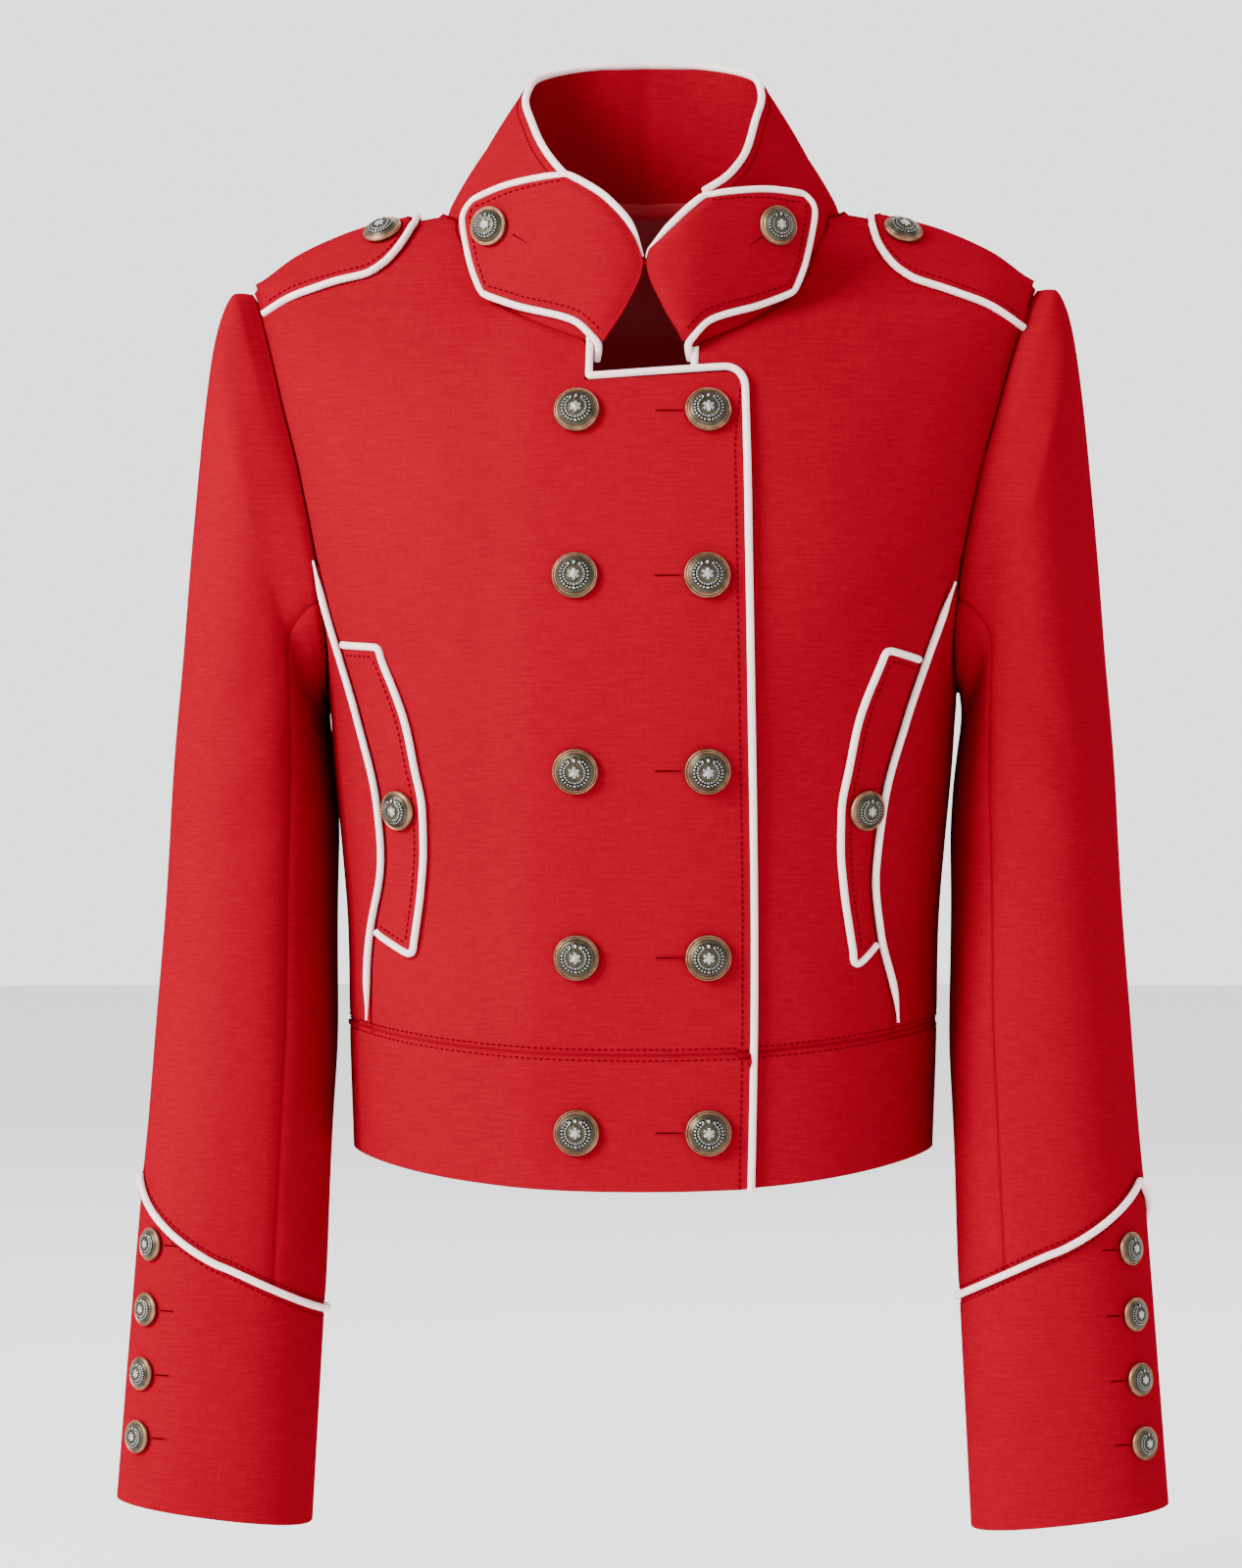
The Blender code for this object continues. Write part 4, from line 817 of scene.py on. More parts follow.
def metal():
    """Antiqued buttons: dull brass domes, rubbed pewter relief with dark hollows, copper rims."""
    graph = Graph("antique_brass")
    relief = graph.attribute("relief")
    rim = graph.attribute("rim")
    grain = graph.noise(graph.place(), 900.0, 3.0, 0.6)
    cloud = graph.noise(graph.place(), 220.0, 2.0, 0.5)
    height = relief + (grain - 0.5) * 0.25
    raised = graph.between(height, 0.50, 0.80)
    hollow = graph.between(height, 0.03, 0.16) * (1.0 - graph.between(height, 0.42, 0.66))
    wear_and_seam_shade = graph.between(cloud, 0.35, 0.65)
    dome = graph.mix(wear_and_seam_shade, shade(colours().brass, 0.75), shade(colours().brass, 1.25))
    dome = graph.mix(raised, dome, shade(colours().pewter, 1.0))
    dome = graph.mix(hollow, dome, shade(colours().patina, 1.0))
    edge = graph.mix(wear_and_seam_shade, shade(colours().copper, 0.65), shade(colours().copper, 1.15))
    graph.set(
        Base_Color=graph.mix(rim, dome, edge), Metallic=1.0,
        Roughness=0.38 - 0.08 * raised + 0.12 * grain, Normal=graph.bump(grain, 0.25, 0.0002))
    return graph.material


def paper():
    """Pale studio paper with a very faint grain."""
    graph = Graph("studio_paper")
    grain = graph.noise(graph.place(), 400.0, 2.0, 0.5)
    colour = graph.mix(grain, shade(colours().paper, 0.995), shade(colours().paper, 1.0))
    graph.set(Base_Color=colour, Roughness=0.9)
    return graph.material


@functools.cache
def material(make):
    """The material that make builds, built once."""
    return make()


# ------------------------------------------------ nets of the panels


ALL_ROUND = ("left", "right", "bottom", "top")
FREE_SIDES = ("right", "bottom", "top")


def wide(first, second):
    return np.meshgrid(first, second, indexing="ij")


def notch_turn(side, z):
    return turn_at(NOTCH_X + side * closure_shift(NOTCH_X), z)


def neckline(side, share):
    """Turns and heights of the front neckline on the +X half, moved with the closure."""
    place = NECK_FRONT(share)
    x = np.where(share > 0.0, body(np.radians(place.turn), place.z)[..., 0], NOTCH_X)
    turn = turn_at(x + side * closure_shift(x), place.z)
    return np.where(share < 1.0, turn, math.pi / 2.0), place.z


def shoulder_line(share):
    """Turns and heights from the neck's end of the shoulder seam to its tip."""
    x = lerp(RINGS(0.0).half_width, RINGS(SHOULDER_TIP_Z).half_width, share)
    return np.full_like(x, math.pi / 2.0), shoulder_z(x)


SEAM_FOOT_Z = float(band_seam_z(turn_at(0.127, BAND_SEAM_SIDE_Z)))


def seam_x(z, side):
    return SIDE_FRONT_SEAM(z).x - side * SEAM_SHIFT(z).x


def side_seam(rows, side):
    """The side-front seam and then the front of the armhole, for values from 0 upwards."""
    low = np.clip(rows / LOW_CELLS, 0.0, 1.0)
    z = lerp(SEAM_FOOT_Z, SIDE_FRONT_TOP_Z, low)
    turn = turn_at(seam_x(z, side), z)
    arm_turn, arm_z = armhole(ARM_CELLS - np.clip(rows - LOW_CELLS, 0.0, ARM_CELLS))
    over = rows >= LOW_CELLS
    return np.where(over, arm_turn, turn), np.where(over, arm_z, z)


def blend_patch(s, t, bottom, top, left, right):
    """A four-sided patch of turns and heights; each side is a function of its share."""
    bottom_s, top_s, left_t, right_t = (np.stack(side(share)) for side, share in (
        (bottom, s), (top, s), (left, t), (right, t)))
    corner = [np.stack(side(np.asarray(share)))[:, None, None] for side, share in (
        (bottom, 0.0), (bottom, 1.0), (top, 0.0), (top, 1.0))]
    ruled = (1 - t) * bottom_s + t * top_s + (1 - s) * left_t + s * right_t
    foot = (1 - s) * (1 - t) * corner[0] + s * (1 - t) * corner[1]
    return ruled - (foot + (1 - s) * t * corner[2] + s * t * corner[3])


FRONT_COLUMNS, FRONT_ROWS = LAP_CELLS + NECK_CELLS + SHOULDER_CELLS, LOW_CELLS + ARM_CELLS


def front_turns(side, edge_x, density):
    """Turns and heights of a front panel, and the cells that they stand for."""
    columns, rows, first = FRONT_COLUMNS, FRONT_ROWS, LOW_CELLS + MID_CELLS
    heights = np.union1d(spaced(rows, density), spaced(first, density))
    across, up = wide(spaced(columns, density), heights)
    low = np.clip(up / LOW_CELLS, 0.0, 1.0)
    middle = np.clip((up - LOW_CELLS) / MID_CELLS, 0.0, 1.0)
    z_notch = lerp(lerp(float(band_seam_z(0.0)), SIDE_FRONT_TOP_Z, low), FRONT_TOP_Z, middle)
    right_turn, right_z = side_seam(np.minimum(up, first), side)
    rise = FRONT_TOP_RISE * np.clip(up - first + 1.0, 0.0, 1.0) if side < 0 else 0.0
    z_edge = z_notch + rise
    edge_turn = -turn_at(edge_x(z_edge), z_edge)
    lap = np.clip(across / LAP_CELLS, 0.0, 1.0)
    rest = np.clip((across - LAP_CELLS) / (columns - LAP_CELLS), 0.0, 1.0)
    turn = lerp(lerp(edge_turn, notch_turn(side, z_notch), lap), right_turn, rest)
    z = lerp(lerp(z_edge, z_notch, lap), right_z, rest)
    z = z + (band_seam_z(turn) - z) * np.clip(1.0 - up, 0.0, 1.0)
    if side < 0:
        past = np.clip(1.0 - (edge_x(z) + body(turn, z)[..., 0]) / LAP_CORNER, 0.0, 1.0)
        drop = LAP_CORNER * (1.0 - np.sqrt(1.0 - past ** 2))
        z = z - drop * smoothstep((up - first + 1.5) / 1.5) * (across <= LAP_CELLS)
    s, t = rest, np.clip((up - first) / (rows - first), 0.0, 1.0)

    def bottom(share):
        arm_turn, arm_z = armhole(ARM_CELLS - MID_CELLS)
        return lerp(notch_turn(side, FRONT_TOP_Z), arm_turn, share), lerp(FRONT_TOP_Z, arm_z, share)

    def top(share):
        neck = neckline(side, np.clip(2 * share, 0, 1))
        shoulder = shoulder_line(np.clip(2 * share - 1, 0, 1))
        return tuple(np.where(share < 0.5, a, b) for a, b in zip(neck, shoulder))

    def left(share):
        heights = lerp(FRONT_TOP_Z, NOTCH_TOP_Z, share)
        return notch_turn(side, heights), heights

    def right(share):
        return armhole((ARM_CELLS - MID_CELLS) * (1.0 - share))

    upper_turn, upper_z = blend_patch(s, t, bottom, top, left, right)
    upper = (up > first) & (across >= LAP_CELLS)
    return np.where(upper, upper_turn, turn), np.where(upper, upper_z, z), across, up


def on_form(turn, z, lift=0.0):
    """Points on the body form, lifted off it."""
    return body(turn, z) + body_normal(turn, z) * np.asarray(lift)[..., None]


def body_net(turn, z, side, lift=0.0, seams=(), creases=CREASES):
    """A net on the body form with its seams drawn in and its creases."""
    points = mirrored_if(side, on_form(turn, z, lift))
    points = rolled(points, normals_of(points, side), seams)
    if creases:
        points = creased(points, normals_of(points, side), creases)
    return Net(points, side, seams)


def seam_fade(away, reach=0.006):
    """0 at a net's sides and 1 inside, so that creases end at the seams."""
    return smoothstep(np.minimum.reduce(list(away.values())) / reach)


def side_front_turns(side, density):
    i, j = wide(spaced(SIDE_CELLS, density), spaced(LOW_CELLS, density))
    share, v = i / SIDE_CELLS, j / LOW_CELLS
    seam_turn, seam_z = side_seam(np.minimum(j, LOW_CELLS), side)
    top_turn, top_z = armhole(ARM_CELLS + i)
    first_turn, first_z = armhole(ARM_CELLS)
    turn = lerp(seam_turn, math.pi / 2.0, share)
    z = lerp(seam_z, lerp(BAND_SEAM_SIDE_Z, ARMPIT_Z, v), share)
    pull = v ** 3
    turn = turn + (top_turn - lerp(first_turn, math.pi / 2.0, share)) * pull
    z = z + (top_z - lerp(first_z, ARMPIT_Z, share)) * pull
    z = z + (band_seam_z(turn) - z) * np.clip(1.0 - j, 0.0, 1.0)
    return turn, z


BACK_COLUMNS, BACK_ROWS = 2 * (NECK_CELLS + SHOULDER_CELLS), LOW_CELLS + AROUND // 2
BAND_ROWS = 2


def back_turns(i, j):
    """Turns and heights of the back, from the wearer's left side seam to the right one."""
    half, columns, rows = math.pi / 2.0, BACK_COLUMNS, BACK_ROWS

    def left(share):
        at = share * rows
        arm_turn, arm_z = armhole(AROUND / 2 + np.maximum(at - LOW_CELLS, 0.0))
        low = at < LOW_CELLS
        z = lerp(BAND_SEAM_SIDE_Z, ARMPIT_Z, np.clip(at / LOW_CELLS, 0, 1))
        return np.where(low, half, arm_turn), np.where(low, z, arm_z)

    def right(share):
        turn, z = left(share)
        return math.tau - turn, z

    def bottom(share):
        return lerp(half, 3 * half, share), np.full_like(share, BAND_SEAM_SIDE_Z)

    def top(share):
        at = np.minimum(share, 1.0 - share) * columns
        shoulder = shoulder_line(1.0 - np.clip(at / SHOULDER_CELLS, 0, 1))
        nape = NECK_BACK(np.clip((at - SHOULDER_CELLS) / NECK_CELLS, 0, 1))
        over = at > SHOULDER_CELLS
        turn = np.where(over, np.radians(nape.turn), shoulder[0])
        z = np.where(over, nape.z, shoulder[1])
        return np.where(share > 0.5, math.tau - turn, turn), z

    return blend_patch(i / columns, j / rows, bottom, top, left, right)


def band_turns(side, edge_x, density):
    """Turns and heights of a front waistband, under a front panel and its side front."""
    columns = FRONT_COLUMNS
    i, j = wide(spaced(columns + SIDE_CELLS, density), spaced(BAND_ROWS, 2 * density))
    lap, rest = np.clip(i / LAP_CELLS, 0, 1), np.clip((i - LAP_CELLS) / (columns - LAP_CELLS), 0, 1)
    z_seam = float(band_seam_z(0.0))
    edge = -turn_at(edge_x(z_seam), z_seam)
    foot = float(turn_at(seam_x(SEAM_FOOT_Z, side), SEAM_FOOT_Z))
    turn = lerp(lerp(edge, notch_turn(side, z_seam), lap), foot, rest)
    turn = lerp(turn, math.pi / 2.0, np.clip((i - columns) / SIDE_CELLS, 0, 1))
    z = lerp(hem_z(turn), band_seam_z(turn), j / BAND_ROWS)
    straight = -turn_at(edge_x(z), z)
    return turn + (straight - turn) * np.clip(1.0 - i, 0.0, 1.0), z


def edge_of(side):
    """How far a front's free edge lies past the middle, as a function of height."""
    if side < 0:
        return lambda z: LAP_EDGE(z).x
    return lambda z: np.full_like(np.asarray(z, float), UNDER_EDGE_X)


def front_net(side, density):
    turn, z, across, up = front_turns(side, edge_of(side), density)
    points = body(turn, z)
    lift = lap_lift(points[..., 0]) if side < 0 else 0.0
    net = body_net(turn, z, side, lift, ("right", "bottom", "top"), None)
    away = {key: net.away[key] for key in ("right", "bottom", "top")}
    net = Net(creased(net.points, net.normals, CREASES, seam_fade(away)), side, net.seams)
    return net, across, up


def keep_front(across, up):
    """A test of a front's cells, by their place in the grid: all below the lap's top are cloth."""
    def keep(i, j):
        a = np.interp(i, range(across.shape[0]), across[:, 0])
        b = np.interp(j, range(up.shape[1]), up[0])
        return a > LAP_CELLS or b < LOW_CELLS + MID_CELLS
    return keep


# Each sheet as cut from flat cloth: the rectangle it fits in, its area, how it is held and on what
Cut = namedtuple("Cut", "width length area held rests_on")
FRONTS = ("front_lap_cloth", "front_under_cloth")
CUTS = {
    "front_lap": Cut(0.360, 0.510, 0.0800, "hung", ("back",)),
    "front_under": Cut(0.350, 0.510, 0.0765, "hung", ("back",)),
    "side_front": Cut(0.105, 0.240, 0.0144, "hung", ("back",)),
    "back": Cut(0.470, 0.480, 0.1650, "hung", FRONTS),
    "waistband_lap": Cut(0.262, 0.063, 0.0162, "hung", ("front_lap_cloth",)),
    "waistband_under": Cut(0.252, 0.063, 0.0156, "hung", ("front_under_cloth",)),
    "waistband_back": Cut(0.396, 0.060, 0.0232, "hung", ("back_cloth",)),
    "sleeve_upper": Cut(0.345, 0.470, 0.0850, "hung", ("back_cloth",)),
    "sleeve_under": Cut(0.185, 0.375, 0.0380, "hung", ("back_cloth",)),
    "cuff": Cut(0.315, 0.165, 0.0342, "hung", ("sleeve_upper",)),
    "collar_stand": Cut(0.540, 0.080, 0.0336, "folded", ("back_cloth",)),
    "collar_tab": Cut(0.090, 0.106, 0.0048, "folded", ("collar_stand_cloth",)),
    "pocket_flap": Cut(0.026, 0.148, 0.0030, "laid", FRONTS),
    "shoulder_strap": Cut(0.100, 0.083, 0.0054, "laid", FRONTS),
    "lining_back_neck": Cut(0.302, 0.190, 0.0480, "hung", ("back_cloth",)),
}


NETS = {}


def sheet(name, net, *args, **options):
    """A panel of cloth that is kept for its cords and stitches."""
    NETS[name] = net
    piece = cloth(name, net, *args, **options)
    side = name.rsplit("_", 1)[-1]
    cut = CUTS.get(name) or CUTS[name.removesuffix("_" + side)]
    rests_on = [f"{rest}_{side}" if rest == "sleeve_upper" else rest for rest in cut.rests_on]
    if len(rests_on) == 2 and side in ("left", "right"):
        rests_on = [FRONTS[side == "left"]]


class JACKET_OT_body(bpy.types.Operator):
    """Make the fronts, side fronts, back and waistbands"""

    bl_idname = "jacket.body"
    bl_label = "Body panels"

    def execute(self, context):
        density, thick, red = sizes().density, sizes().cloth, material(wool)
        for (side, suffix), layer in zip(SIDES, ("under", "lap")):
            net, across, up = front_net(side, density)
            sheet(f"front_{layer}", net, thick, red, keep=keep_front(across, up))
            turn, z = band_turns(side, edge_of(side), density)
            lift = lap_lift(body(turn, z)[..., 0]) if side < 0 else 0.0
            net = body_net(turn, z, side, lift, ("right", "top"))
            sheet(f"waistband_{layer}", net, thick, red)
            net = body_net(*side_front_turns(side, density), side, 0.0, ALL_ROUND)
            sheet(f"side_front_{suffix}", net, thick, red)
        turn, z = back_turns(*wide(spaced(BACK_COLUMNS, density), spaced(BACK_ROWS, density)))
        sheet("back", body_net(turn, z, 1, 0.0, ALL_ROUND), thick, red)
        i, j = wide(spaced(BACK_COLUMNS, density), spaced(BAND_ROWS, 2 * density))
        turn = lerp(math.pi / 2.0, 3 * math.pi / 2.0, i / BACK_COLUMNS)
        z = lerp(hem_z(turn), band_seam_z(turn), j / BAND_ROWS)
        net = body_net(turn, z, 1, 0.0, ("left", "right", "top"))
        sheet("waistband_back", net, thick, red)
        return {"FINISHED"}


# ------------------------------------------------ sleeves and cuffs


def sleeve(step, along):
    """Points of the left sleeve; step 0 is its outer line, 6 the front, 12 the inner line."""
    step, along = np.broadcast_arrays(np.asarray(step, float), np.asarray(along, float))
    angle = math.tau * step / AROUND
    across, out = np.sin(angle), np.cos(angle)
    bend = 2.0 / np.where(out > 0.0, SLEEVE_POWER, SLEEVE_INNER_POWER)
    swing = 0.5 + 0.5 * np.sign(out) * np.abs(out) ** bend
    reach = np.sign(across) * np.abs(across) ** bend

    def section(at):
        return stacked(
            lerp(at.inner_x, at.outer_x, swing), at.middle_y - at.half_y * reach,
            lerp(at.inner_z, at.outer_z, swing))

    joined = smoothstep(along / SLEEVE_ROWS[3])[..., None]
    start = body(*armhole(step))
    return section(SLEEVE(along)) + (start - section(SLEEVE(0.0))) * (1.0 - joined)


def sleeve_normal(step, along):
    step, along, small_step, small_along = np.asarray(step), np.asarray(along), 0.1, 0.01
    down = sleeve(step, along + small_along) - sleeve(step, np.maximum(0.0, along - small_along))
    round_arm = sleeve(step + small_step, along) - sleeve(step - small_step, along)
    return unit(np.cross(round_arm, down))


def along_at(step, z, low=0.5):
    """How far down the sleeve, at low or lower, its point at this step has the given height."""
    low, high = np.full_like(z, low), np.full_like(z, SLEEVE_END)
    for _ in range(40):
        middle = 0.5 * (low + high)
        above = sleeve(step, middle)[..., 2] > z
        low, high = np.where(above, middle, low), np.where(above, high, middle)
    return low


def cuff_seam_along(step, side):
    """How far down the sleeve the cuff's seam lies at this step."""
    seam = CUFF_SEAMS(side)
    angle = math.tau * (np.asarray(step, float) - seam.peak_step) / AROUND
    return along_at(step, seam.peak_z - seam.drop * (0.5 - 0.5 * np.cos(angle)) ** seam.power)


def sleeve_net(first, last, side, density):
    """One half of a sleeve, from the armhole to the cuff seam."""
    rows = len(SLEEVE_ROWS) - 1
    i, j = wide(first + spaced(last - first, density), spaced(rows + 2, 2 * density))
    seam = cuff_seam_along(i[:, :1], side)
    along = np.interp(j, range(rows + 1), SLEEVE_ROWS)
    along = np.where(j > rows, lerp(SLEEVE_ROWS[-1], seam, (j - rows) / 2.0), along)
    points = mirrored_if(side, sleeve(i, along))
    points = rolled(points, normals_of(points, side), ALL_ROUND)
    fade = seam_fade(edge_distances(points), 0.012)
    points = creased(points, normals_of(points, side), ARM_CREASES, fade)
    return Net(points, side, ALL_ROUND)


CUFF_ROWS = 6


def cuff_net(side, density):
    """A whole cuff, closed where its first and last lines meet."""
    i, j = wide(spaced(AROUND, density, ()), spaced(CUFF_ROWS, density))
    seam = cuff_seam_along(i[:, :1], side)
    points = mirrored_if(side, sleeve(i, lerp(seam, SLEEVE_END, j / CUFF_ROWS)))
    points = rolled(points, normals_of(points, side), ("bottom",))
    points[-1] = points[0]
    return Net(points, side, ("bottom",))


class JACKET_OT_sleeves(bpy.types.Operator):
    """Make both sleeves, each of an upper and an under piece, and their cuffs"""

    bl_idname = "jacket.sleeves"
    bl_label = "Sleeves and cuffs"

    def execute(self, context):
        density, thick, red = sizes().density, sizes().cloth, material(wool)
        inner_seam, outer_seam = SLEEVE_SEAMS
        parts = (
            ("upper", outer_seam - AROUND, inner_seam),
            ("under", inner_seam, outer_seam),
        )
        for side, suffix in SIDES:
            for part, first, last in parts:
                net = sleeve_net(first, last, side, density)
                sheet(f"sleeve_{part}_{suffix}", net, thick, red)
            sheet(f"cuff_{suffix}", cuff_net(side, density), thick, red, closed=True)
        return {"FINISHED"}


# ------------------------------------------------ collar, tabs, flaps, straps and lining

# Cells of the nets, and the columns of the collar between which its cord shows
COLLAR_COLUMNS, COLLAR_ROWS, COLLAR_SHOWN = 16, 3, (1.75, 14.60)
TAB_COLUMNS, TAB_ROWS, FLAP_COLUMNS, FLAP_ROWS, STRAP_COLUMNS, STRAP_ROWS = 7, 8, 3, 12, 9, 6
# How far the left half's free edge lies open beside its tab, at which column and how wide
COLLAR_OPENED, COLLAR_OPENED_AT, COLLAR_OPENED_WIDTH = 0.0050, 1.9, 1.1
COLLAR_SHIFT_DEPTH, COLLAR_BULGE = 0.060, 0.0022
# A tab's face: its depth in front, where and how softly it turns back, and how it leans
TAB_FACE_Y, TAB_TURN_X, TAB_TURN_SOFT, TAB_TURN_SLOPE = -0.0983, 0.020, 0.007, 0.47
TAB_LEAN, TAB_LEAN_Z, TAB_SWELL, TAB_FOLD_ROLL = 0.096, 0.050, 0.0012, (0.0016, 0.0040)
FLAP_SEAM_ROLL = (0.0010, 0.0035)
# The lining: its gap to the back, its droop, its gap to the collar, its cells and its band's rises
LINING_GAP, LINING_DROOP, NECK_BAND_GAP = 0.0008, 0.0012, 0.0012
LINING_FIRST, LINING_COLUMNS, LINING_FOOT, LINING_ROWS = 5.0, 6, 13.0, 7
NECK_BAND_RISES = (0.0004, 0.0022, 0.0044, 0.0066)


def collar_net(density):
    """The standing collar, from the wearer's right front round the nape to the left front."""
    i, j = wide(spaced(COLLAR_COLUMNS, density), spaced(COLLAR_ROWS, density))
    halves = []
    for side in (-1, 1):
        at = np.minimum(i, COLLAR_COLUMNS - i)
        neck_turn, neck_z = neckline(side, np.clip(at / NECK_CELLS, 0.0, 1.0))
        nape = NECK_BACK(np.clip((at - NECK_CELLS) / NECK_CELLS, 0.0, 1.0))
        over = at > NECK_CELLS
        turn, z = np.where(over, np.radians(nape.turn), neck_turn), np.where(over, nape.z, neck_z)
        base = body(turn, z)
        if side < 0:
            base = base + body_normal(turn, z) * (0.5 * lap_lift(base[..., 0]))[..., None]
        edge = COLLAR_EDGE(np.interp(at, range(len(COLLAR_SHARES)), COLLAR_SHARES))
        shift = side * closure_shift(edge.x) * smoothstep(-edge.y / COLLAR_SHIFT_DEPTH)
        if side > 0:
            past = (at - COLLAR_OPENED_AT) / COLLAR_OPENED_WIDTH
            shift = shift + COLLAR_OPENED * np.exp(-(past ** 2))
        half = base, stacked(edge.x + shift, edge.y, edge.z)
        halves.append([mirrored_if(side, line) for line in half])
    right = (i <= COLLAR_COLUMNS / 2)[..., None]
    base, top = (np.where(right, *lines) for lines in zip(*halves))
    share = j / COLLAR_ROWS
    points = lerp(base, top, share[..., None])
    inside = smoothstep(np.minimum(i, COLLAR_COLUMNS - i) / 2.0)
    bulge = COLLAR_BULGE * 4.0 * share * (1.0 - share) * inside
    points = points + normals_of(points, -1) * bulge[..., None]
    points = rolled(points, normals_of(points, -1), ("bottom",))
    return Net(points, -1, ("bottom",))


def tab_y(x, z):
    """Depth of a tab's face: flat in front, turning softly back towards its outer edge."""
    past = np.abs(x) - TAB_TURN_X
    turned = 0.5 * (past + np.sqrt(past ** 2 + TAB_TURN_SOFT ** 2))
    return TAB_FACE_Y + TAB_TURN_SLOPE * turned + TAB_LEAN * (z + TAB_LEAN_Z)


def tab_point(x, z, side):
    return stacked(side * x + closure_shift(x), tab_y(x, z), z)


def tab_normal(x, z, side):
    small = 0.002
    across = tab_point(x + small, z, side) - tab_point(x - small, z, side)
    up = tab_point(x, z + small, side) - tab_point(x, z - small, side)
    return unit(np.cross(across, up)) * side


def tab_folded(x, z, side):
    """Places of the even tab, moved to where this side's tab has them."""
    share = smoothstep((z - TAB_TILT_Z) / TAB_TILT_FADE)
    raised = TAB_RAISE[side] + TAB_TILT[side] * (x - TAB_TILT_X)
    return x - share * TAB_DRAW[side] * (TAB_CORNER_X - x), z + share * raised


def tab_net(side, density):
    """A collar end folded outward, with its fold on the left of the net."""
    i, j = wide(spaced(TAB_COLUMNS, density), spaced(TAB_ROWS, density))
    across, up = i / TAB_COLUMNS, j / TAB_ROWS
    tables = TAB_LOWER, TAB_TOP, TAB_INNER, TAB_OUTER
    sides = [lambda share, table=table: table(share)[1:] for table in tables]
    points = tab_point(*tab_folded(*blend_patch(across, up, *sides), side), side)
    normals = normals_of(points, side)
    points = rolled(points, normals, ("left",), *TAB_FOLD_ROLL)
    points = rolled(points, normals, FREE_SIDES, *EDGE_ROLL)
    swell = TAB_SWELL * np.sin(math.pi * across) * np.sin(math.pi * up)
    return Net(points + normals * swell[..., None], side, ())


def flap_net(side, density):
    """A pocket flap, sewn down along the side-front seam."""
    i, j = wide(spaced(FLAP_COLUMNS, 2 * density), spaced(FLAP_ROWS, density))
    ends = FLAP_ENDS(side)

    def seam_side(share):
        z = lerp(ends.seam_bottom, ends.seam_top, share)
        return seam_x(z, side) - FLAP_FROM_SEAM, z

    def front_side(share):
        z = lerp(ends.tip, ends.front_top, share)
        return FLAP_FRONT(z).x - side * FLAP_SHIFT, z

    def between_ends(end):
        (x0, z0), (x1, z1) = seam_side(np.asarray(end)), front_side(np.asarray(end))
        return lambda share: (lerp(x0, x1, share), lerp(z0, z1, share))

    sides = between_ends(0.0), between_ends(1.0), seam_side, front_side
    x, z = blend_patch(i / FLAP_COLUMNS, j / FLAP_ROWS, *sides)
    points = mirrored_if(side, on_form(turn_at(x, z), z, LAYER))
    normals = normals_of(points, -side)
    points = rolled(points, normals, FREE_SIDES, *EDGE_ROLL)
    points = rolled(points, normals, ("left",), *FLAP_SEAM_ROLL)
    return Net(points, -side, ("left",))


def strap_place(x, across, side):
    """Turns and heights on the shoulder; across is -1 at the strap's front edge, 1 at its back."""
    row = STRAP_DROP(x)
    drop = np.where(across > 0.0, row.right * STRAP_BACK, row.left if side > 0 else row.right)
    z = shoulder_z(x) - drop * np.abs(across) ** 1.5
    turn = turn_at(x, z)
    return np.where(across < 0.0, turn, math.pi - turn), z


def strap_net(side, density):
    i, j = wide(spaced(STRAP_COLUMNS, density), spaced(STRAP_ROWS, density))
    across = 2.0 * j / STRAP_ROWS - 1.0
    end = STRAP_SLEEVE_X - STRAP_SLEEVE_SLANT * np.abs(across)
    inward = 1.0 - (1.0 - i / STRAP_COLUMNS) ** 1.3
    turn, z = strap_place(lerp(end, STRAP_NECK_X, inward), across, side)
    lift = STRAP_LIFT - STRAP_SETTLE * smoothstep(1.0 - i / 2.0)
    points = mirrored_if(side, on_form(turn, z, lift))
    points = rolled(points, normals_of(points, -side), FREE_SIDES, *EDGE_ROLL)
    return Net(points, -side, ("left",))


def lining_net(density):
    """The lining inside the back of the neck, with its satin band up the inside of the collar."""
    across = LINING_FIRST + spaced(LINING_COLUMNS, density)
    i, j = wide(across, LINING_FOOT + spaced(LINING_ROWS, density))
    turn, z = back_turns(i, j)
    points = on_form(turn, z, -(sizes().cloth + LINING_GAP))
    normals = normals_of(points, 1)
    droop = np.sin(14.0 * i / 3.0 + 0.7) * smoothstep((LINING_FOOT + LINING_ROWS - j) / 3.0)
    points = points - normals * (LINING_DROOP * np.abs(droop))[..., None]
    base = body(turn[:, -1], z[:, -1])
    left = BACK_COLUMNS / 2 - across
    shares = np.interp(BACK_COLUMNS / 2 - np.abs(left), range(len(COLLAR_SHARES)), COLLAR_SHARES)
    edge = COLLAR_EDGE(shares)
    up = unit(stacked(edge.x * np.sign(left), edge.y, edge.z) - base)
    inward = unit(np.cross(up, np.gradient(base, axis=0)))
    rises = np.array(NECK_BAND_RISES)[None, :, None]
    band = (base + inward * (sizes().stiff_cloth + NECK_BAND_GAP))[:, None] + up[:, None] * rises
    return Net(np.concatenate([points, band], axis=1), 1, ())


